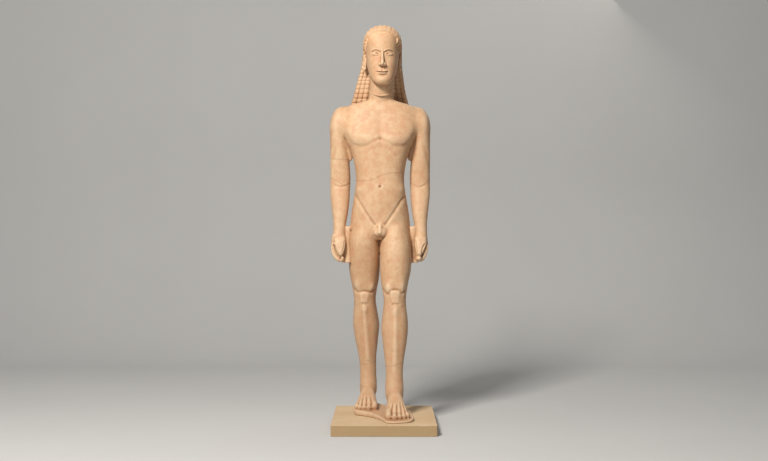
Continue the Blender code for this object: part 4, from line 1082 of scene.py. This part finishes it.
# The hair
# Cut in one with the head: strands of square beads that run back over the crown, are bound by a flat ribbon
# tied behind, and spread over the back to a row of tassels. Beads show in front too, beside the neck.

STRANDS = 14
CROWN_BEADS = 17
CROWN_BEAD = 17.0  # length of a bead there
FALL_BEADS = 14
ACROSS = 10  # steps of the grid across a strand
ALONG = 8  # and along a bead
EAR_LINE = (94, 1798)  # y and h of the line through the ears that the crown's rows turn about
CROWN_REACH = (120, 125, 146)
CROWN_BOXINESS = 3.3
CROWN_HALF_WIDTH = 95
HAIRLINE = math.radians(49)
LOWEST_STRAND = math.radians(86)
BAND_TURN = math.radians(163.5)
BAND_HALF = math.radians(6.4)
BAND_RELIEF = 6.5
# Down the back: height above the ear line, middle x, half width, how far behind the ear line it lies, and how
# far its edges stand forward of that
FALL = (
    (8, 9, 98, 125, 72), (-16, 9, 101, 124, 54), (-58, 7, 107, 123, 45), (-98, 4, 115, 127, 44),
    (-135, 1, 123, 132, 44), (-182, -1, 134, 142, 44), (-226, -2, 148, 154, 38),
    (-260, -1, 159, 163, 32), (-288, 0, 166, 170, 28),
)  # fmt: skip
FALL_BOW = (math.radians(68), math.radians(35))  # half the arc that its section spans, at top and foot
TASSEL_SHARE = 0.87
BEAD_RELIEF = 6.8
FRONT_STRANDS = 3
FRONT_PARTING = 0.46  # where the strands beside the neck end, as a share of the half width
RIBBON_STRAND = 3  # the ribbon's ends hang over this strand, counted from each edge
RIBBON_BEADS = 7
# Rows of the sheet from the forehead down to the hem, and its columns: those behind, then back along the front
CROWN_ROWS = CROWN_BEADS * ALONG + 1
BAND_ROWS = 16
FALL_ROWS = FALL_BEADS * ALONG + 1
TASSEL_ROWS = 25
FIRST_FALL = CROWN_ROWS + BAND_ROWS
BEHIND = STRANDS * ACROSS + 1
BESIDE_NECK = FRONT_STRANDS * ACROSS


def crown_grid(turn, place):
    """Points over the crown: the row has turned so far about the ear line, in an ellipse squared by its power,
    and the strand lies at place from -1 to 1, evenly spread along the head's cross-section."""
    forward, back, up = CROWN_REACH
    fine = np.linspace(0, LOWEST_STRAND, 300)
    across, upward = np.diff(CROWN_HALF_WIDTH * np.sin(fine)), np.diff(up * np.sqrt(np.cos(fine)))
    length = np.concatenate([[0], np.cumsum(np.hypot(across, upward))])
    strand = np.sign(place) * np.interp(np.abs(place) * length[-1], length, fine)
    turn = turn[:, None]
    flat = np.abs(np.cos(turn)) / np.where(turn < np.pi / 2, forward, back)
    reach = (flat**CROWN_BOXINESS + (np.sin(turn) / up) ** CROWN_BOXINESS) ** (-1 / CROWN_BOXINESS)
    out = reach * np.sqrt(np.cos(strand))
    x = HEAD_MIDDLE + CROWN_HALF_WIDTH * np.sin(strand) + 0 * turn
    return np.stack([x, EAR_LINE[0] - out * np.cos(turn), EAR_LINE[1] + out * np.sin(turn)], axis=-1)


def fall_grid(share, place):
    """Points of the hair on the back: the row's sizes read along the table, bent to an arc."""
    table = along(FALL, 801)
    at = np.linspace(0, 1, 801)
    height, middle, half, back, forward = (np.interp(share, at, column)[:, None] for column in table.T)
    bow = FALL_BOW[0] + (FALL_BOW[1] - FALL_BOW[0]) * share[:, None]
    turn = place * bow
    x = middle + half * np.sin(turn) / np.sin(bow)
    y = EAR_LINE[0] + back - forward * (1 - np.cos(turn)) / (1 - np.cos(bow))
    return np.stack([x, y, EAR_LINE[1] + height + 0 * turn], axis=-1)


def hair_sheet():
    """The smooth sheet under the beads, closed: the strands behind, then back along the front from the left
    edge to the right, as rows by columns."""
    crown_turn = np.linspace(HAIRLINE, BAND_TURN - BAND_HALF, CROWN_ROWS)
    band_turn = np.linspace(BAND_TURN - BAND_HALF, BAND_TURN + BAND_HALF, BAND_ROWS)
    fall_share = np.linspace(0, TASSEL_SHARE, FALL_ROWS)
    tassel_share = np.linspace(TASSEL_SHARE, 1, TASSEL_ROWS + 1)[1:]
    place = np.linspace(-1, 1, BEHIND)[None, :]
    front = np.concatenate([np.linspace(1, FRONT_PARTING, BESIDE_NECK + 1)[1:],
                            np.linspace(FRONT_PARTING, -FRONT_PARTING, 10)[1:-1],
                            np.linspace(-FRONT_PARTING, -1, BESIDE_NECK + 1)[:-1]])  # fmt: skip
    sheet = np.concatenate([crown_grid(crown_turn, place), crown_grid(band_turn, place),
                            fall_grid(np.concatenate([fall_share, tassel_share]), place)])  # fmt: skip
    left, right = sheet[:, -1:], sheet[:, :1]
    chord = (left + right) / 2 + (left - right) / 2 * front[None, :, None]
    return np.concatenate([sheet, chord], axis=1)


def bead_places(sheet, strand):
    """How far along its bead and how far across its strand each point of the sheet lies, both from 0 to 1; the
    second is not a number between the strands beside the neck. Over the crown a bead is as long as its
    strand's own way to the ribbon allows, counted from there."""
    down = np.zeros(sheet.shape[:2])
    down[FIRST_FALL : FIRST_FALL + FALL_ROWS] = (np.arange(FALL_ROWS) / ALONG % 1)[:, None]
    middles = sheet[:CROWN_ROWS, ACROSS // 2 : BEHIND : ACROSS]
    way = np.linalg.norm(np.diff(middles, axis=0), axis=2)
    way = np.concatenate([np.cumsum(way[::-1], axis=0)[::-1], np.zeros((1, STRANDS))])
    down[:CROWN_ROWS] = (way / CROWN_BEAD % 1)[:, strand]
    across = np.full(sheet.shape[1], np.nan)
    across[:BEHIND] = np.arange(BEHIND) / ACROSS % 1
    across[BEHIND : BEHIND + BESIDE_NECK] = (np.arange(BESIDE_NECK) + 1) / ACROSS % 1
    across[-BESIDE_NECK:] = np.arange(BESIDE_NECK) / ACROSS % 1
    return down, across[None, :]


def bead_relief(sheet, down, across, row, column):
    """A pillow on each bead, high by one less the fourth power along it, with a notch at the corners, and worn:
    over the forehead the beads were left rough, and they deepen towards the back."""
    ridge = (1 - np.abs(2 * across - 1) ** 3.4) ** 0.9
    notch = np.where(column >= BEHIND, 0.8, np.where(row < CROWN_ROWS, 0.85, 0.62))
    relief = BEAD_RELIEF * ridge * (1 - notch * np.abs(2 * down - 1) ** 4)
    to_end, to_side = np.minimum(down, 1 - down), np.minimum(across, 1 - across)
    relief = relief - 2.6 * np.exp(-((to_end / 0.17) ** 2) - (to_side / 0.13) ** 2)
    forward = np.clip((row / (CROWN_ROWS - 1) - 0.02) / 0.34, 0, 1)
    worn = np.where(row < CROWN_ROWS, 0.24 + 0.76 * forward**0.8, 1.0)
    worn = worn * np.clip(0.93 + 0.22 * ripple(sheet, 60, 61), 0.6, 1.05)
    return relief, worn * np.where(column >= BEHIND, 0.72, 1.0)


def make_hair():
    """The beads, tassels and ribbon as heights over the smooth sheet, set off at right angles to it."""
    sheet = hair_sheet()
    rows, columns = sheet.shape[:2]
    row, column = np.arange(rows)[:, None], np.arange(columns)[None, :]
    strand = np.minimum(column[0] // ACROSS, STRANDS - 1)
    from_edge = np.minimum(strand, STRANDS - 1 - strand)[None, :]
    down, across = bead_places(sheet, strand)
    hidden, across = np.isnan(across), np.nan_to_num(across)
    behind, is_fall = column < BEHIND, row >= FIRST_FALL
    is_band = (row >= CROWN_ROWS) & ~is_fall
    x = sheet[..., 0] - HEAD_MIDDLE
    relief, worn = bead_relief(sheet, down, across, row, column)
    relief = relief * worn + (1 - worn) * BEAD_RELIEF * 0.72 * np.where(hidden, 0, 1)

    # Tassels: smooth tongues that widen the gaps between them towards the hem
    tassel = np.clip((row - FIRST_FALL - FALL_ROWS + 1) / TASSEL_ROWS, 0, 1)
    gap = np.clip((np.abs(2 * across - 1) - (0.86 - 0.30 * tassel**0.8)) / 0.16, 0, 1)
    tongue = 5.6 * (1 - np.abs(2 * across - 1) ** 4) + 0.6 - 11 * gap * np.clip(tassel / 0.25, 0, 1)
    relief = np.where(tassel > 0, tongue * (1 - 0.35 * np.clip((tassel - 0.8) / 0.2, 0, 1) ** 2), relief)

    # The ribbon round the head, with rounded edges and a small knot of two loops in the middle
    band_place = np.clip((row - CROWN_ROWS) / (BAND_ROWS - 1), 0, 1)
    edge = 1 - np.abs(2 * band_place - 1) ** 8
    side_fade = 1 - 0.5 * np.clip((np.abs(x) - 70) / 25, 0, 1)
    relief = np.where(is_band, BAND_RELIEF * edge**0.5 * side_fade, relief)
    for loop in (-1, 1):
        oval = ((x - loop * 12) / 12) ** 2 + ((band_place - 0.5) / 0.42) ** 2
        rim = 2.4 * np.exp(-(((oval - 0.55) / 0.3) ** 2))
        relief = relief + np.where(is_band & (row > CROWN_ROWS), rim, 0)
    relief = relief + np.where(is_band, 2.6 * np.exp(-((x / 5) ** 2)) * edge, 0)
    # Its two ends hang in place of one strand on each side
    length = (row - FIRST_FALL) / (RIBBON_BEADS * ALONG)
    on_ribbon = is_fall & (from_edge == RIBBON_STRAND) & behind & (length < 1.25)
    fade = np.clip((1.25 - length) / 0.35, 0, 1)
    flat = 5.2 * (1 - np.abs(2 * across - 1) ** 9) ** 0.6
    relief = np.where(on_ribbon, relief + (flat - relief) * fade, relief)
    # The six strands between them begin with rounded tops
    top = np.clip((row - FIRST_FALL) / (0.9 * ALONG), 0, 1)
    arch = np.clip(np.clip(1.25 - np.hypot(2 * across - 1, 1.25 * (1 - top)), 0, 1) / 0.25, 0, 1)
    central = is_fall & (from_edge > RIBBON_STRAND) & behind & (top < 1)
    relief = np.where(central, relief * arch - 1.5 * (1 - arch), relief)
    # Worn almost away on the left of the back
    rubbed = bell(sheet, (118, 215, 1690), (46, 90, 70)) * 0.62
    relief = np.where(is_fall, relief * (1 - rubbed) + rubbed * 3.6 * (row - FIRST_FALL > 2), relief)
    relief = np.where(hidden | (~behind & ~is_fall), 0, relief)

    around = np.roll(sheet, -1, axis=1) - np.roll(sheet, 1, axis=1)
    outward = np.cross(around, np.gradient(sheet, axis=0))
    outward /= np.maximum(np.linalg.norm(outward, axis=2), 1e-9)[..., None]
    on_crown = CROWN_ROWS // 2, BEHIND // 2
    sign = np.sign(((sheet[on_crown] - (HEAD_MIDDLE, 110, 1700)) * outward[on_crown]).sum())
    points = sheet + outward * sign * (relief + 0.35 * ripple(sheet, 9, 62))[..., None]
    # The hem is scalloped by the tassels' round tips, and the tips sink into the back
    hem = np.clip((tassel - 0.75) / 0.25, 0, 1) * np.abs(2 * across - 1) ** 2.5 * 13 * (tassel > 0)
    points[..., 2] += np.where(hidden, 0, hem)
    points[..., 1] -= np.where(hidden, 0, 9 * tassel**1.6)

    piece = skin("hair", placed(points).reshape(rows, columns, 3), MARBLE)
    # Brown earth and painted shade in the gaps between the beads and between the tassels, through the hollow
    # share
    deep = np.clip(1.25 - (relief + 1.2) / (0.62 * BEAD_RELIEF), 0, 1) * np.where(is_band, 0, 1)
    deep = np.clip(deep + np.where(tassel > 0, gap * np.clip(tassel / 0.3, 0, 1), 0), 0, 1)
    for name, values in (("hollow", deep), ("proud", relief)):
        values = np.append(values.ravel(), (0, 0))
        keep_share(piece.data, name, (values - 4.6) / 1.6 if name == "proud" else values)
    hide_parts("kouros")


make_hair()

# The temple curls
# Small drop-shaped ends of hair left standing on the temples, between the hairline and the ears, six a side.

CURL_ROWS, CURL_SIDES = 24, 16
# y and height of each root, from the forehead back
CURLS = ((34, 1886), (47, 1873), (60, 1861), (73, 1850), (86, 1843), (99, 1838))


def curl_path(side, number):
    """The way of one curl down the side of the head, from where it is rooted to its tip."""
    y, h = CURLS[number]
    path = np.array([(y + 2, h + 2), (y - 3, h - 10), (y - 7, h - 22), (y - 9, h - 36 + number * 1.4)])
    x = head_width(path[:, 0], path[:, 1]) + (3.4, 3.6, 3.0, 1.2)
    return np.column_stack([HEAD_MIDDLE + side * x, path])


def curl_surface(path):
    """A drop along a path: its radius is the sine, to the power 0.6, of the way along it to the power 0.8."""
    step = np.linspace(0.02, 0.98, CURL_ROWS)
    radii = 6.3 * np.sin(np.pi * step**0.8) ** 0.6 + 0.3
    return tube(along(path, CURL_ROWS), radii, CURL_SIDES)


for place in range(12):
    surface = curl_surface(curl_path(1 if place < 6 else -1, place % 6))
    curl = skin(f"temple_curl_{place + 1}", placed(surface).reshape(CURL_ROWS, CURL_SIDES, 3), MARBLE)
    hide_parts("kouros")


# The neckband
# A plain cord carved round the neck, standing up from it, lower in front.

BAND_AROUND, BAND_SIDES = 220, 16  # vertices round the neck and round the cord


def make_neckband():
    x, y, half, deep = NECKBAND
    angle = np.linspace(0, 2 * np.pi, BAND_AROUND, endpoint=False)
    turn = np.linspace(0, 2 * np.pi, BAND_SIDES, endpoint=False)[None, :, None]
    sine, cosine = np.sin(angle), np.cos(angle)
    middle = np.stack([x + half * sine, y - deep * cosine, band_height(cosine)], axis=-1)
    outward = np.stack([sine, -cosine, 0 * angle], axis=-1)
    ring = outward[:, None] * np.cos(turn) * 2.6 + np.array((0, 0, 1.0)) * np.sin(turn) * 4.2
    points = middle[:, None] + ring
    points += ring / 4 * 0.5 * ripple(points, 14, 71)[..., None]
    band = skin("neckband", placed(points).reshape(BAND_AROUND, BAND_SIDES, 3), MARBLE, ring=True)
    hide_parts("kouros")


make_neckband()

# The studio
# A plain pale floor that curves up behind, one broad soft lamp high on the left, a weak one on the right, one
# behind and a low even light all round. The camera stands level, straight in front, at thigh height.

CAMERA_PLACE = (0.0, -5.74, 0.951)
CAMERA_LENS = 53.4
CAMERA_SHIFT = 0.0085  # the level sight line lies a little below the middle of the picture


def make_floor():
    """A profile carried straight across: the floor out to the back, a quarter circle, then up the wall."""
    turn = np.linspace(0, np.pi / 2, 24)
    bend, back, half = 1.6, 4.2, 9.0
    y = np.concatenate([[-9.0], back - bend + bend * np.sin(turn), [back]])
    z = np.concatenate([[0.0], bend - bend * np.cos(turn), [6.0]])
    verts = [(x, a, b) for x in (-half, half) for a, b in zip(y, z)]
    faces = [(i, i + len(y), i + len(y) + 1, i + 1) for i in range(len(y) - 1)]
    mesh = bpy.data.meshes.new("studio_floor")
    mesh.from_pydata(verts, [], faces)
    mesh.shade_smooth()
    material, tree, shader, where = stone("pale_floor")
    shade = cloud(tree, where, 1.2, 3)
    tree.links.new(paint(tree, shade, (0.56, 0.56, 0.555), (0.60, 0.60, 0.595)), shader.inputs["Base Color"])
    shader.inputs["Roughness"].default_value = 0.85
    shader.inputs["Specular IOR Level"].default_value = 0.2
    mesh.materials.append(material)
    floor = bpy.data.objects.new("studio_floor", mesh)
    bpy.context.scene.collection.objects.link(floor)


def lamp(name, place, target, size, power, colour):
    light = bpy.data.lights.new(name, "AREA")
    light.shape = "RECTANGLE"
    light.size, light.size_y = size
    light.energy = power
    light.color = colour
    made = bpy.data.objects.new(name, light)
    made.location = place
    made.rotation_euler = (Vector(target) - Vector(place)).to_track_quat("-Z", "Y").to_euler()
    bpy.context.scene.collection.objects.link(made)


make_floor()
lamp("key", (-1.9, -4.3, 4.7), (0, 0, 1.1), (1.3, 1.3), 455, (1.0, 0.96, 0.90))
lamp("fill", (4.2, -3.6, 1.8), (0, 0, 1.0), (3.0, 3.0), 8, (1.0, 0.96, 0.91))
lamp("back", (2.2, 3.2, 4.0), (0, 0, 1.2), (2.5, 2.5), 30, (1.0, 0.95, 0.88))
bpy.context.scene.view_settings.view_transform = "Standard"
world = bpy.data.worlds.new("studio_air")
bpy.context.scene.world = world
world.use_nodes = True
sky = world.node_tree.nodes["Background"].inputs
sky["Color"].default_value = (0.80, 0.81, 0.83, 1)
sky["Strength"].default_value = 0.17

camera = bpy.data.objects.new("camera", bpy.data.cameras.new("camera"))
camera.data.lens = CAMERA_LENS
camera.data.sensor_width = 36
camera.data.shift_y = CAMERA_SHIFT
camera.location = CAMERA_PLACE
camera.rotation_euler = (math.radians(90), 0, 0)
bpy.context.scene.collection.objects.link(camera)
bpy.context.scene.camera = camera
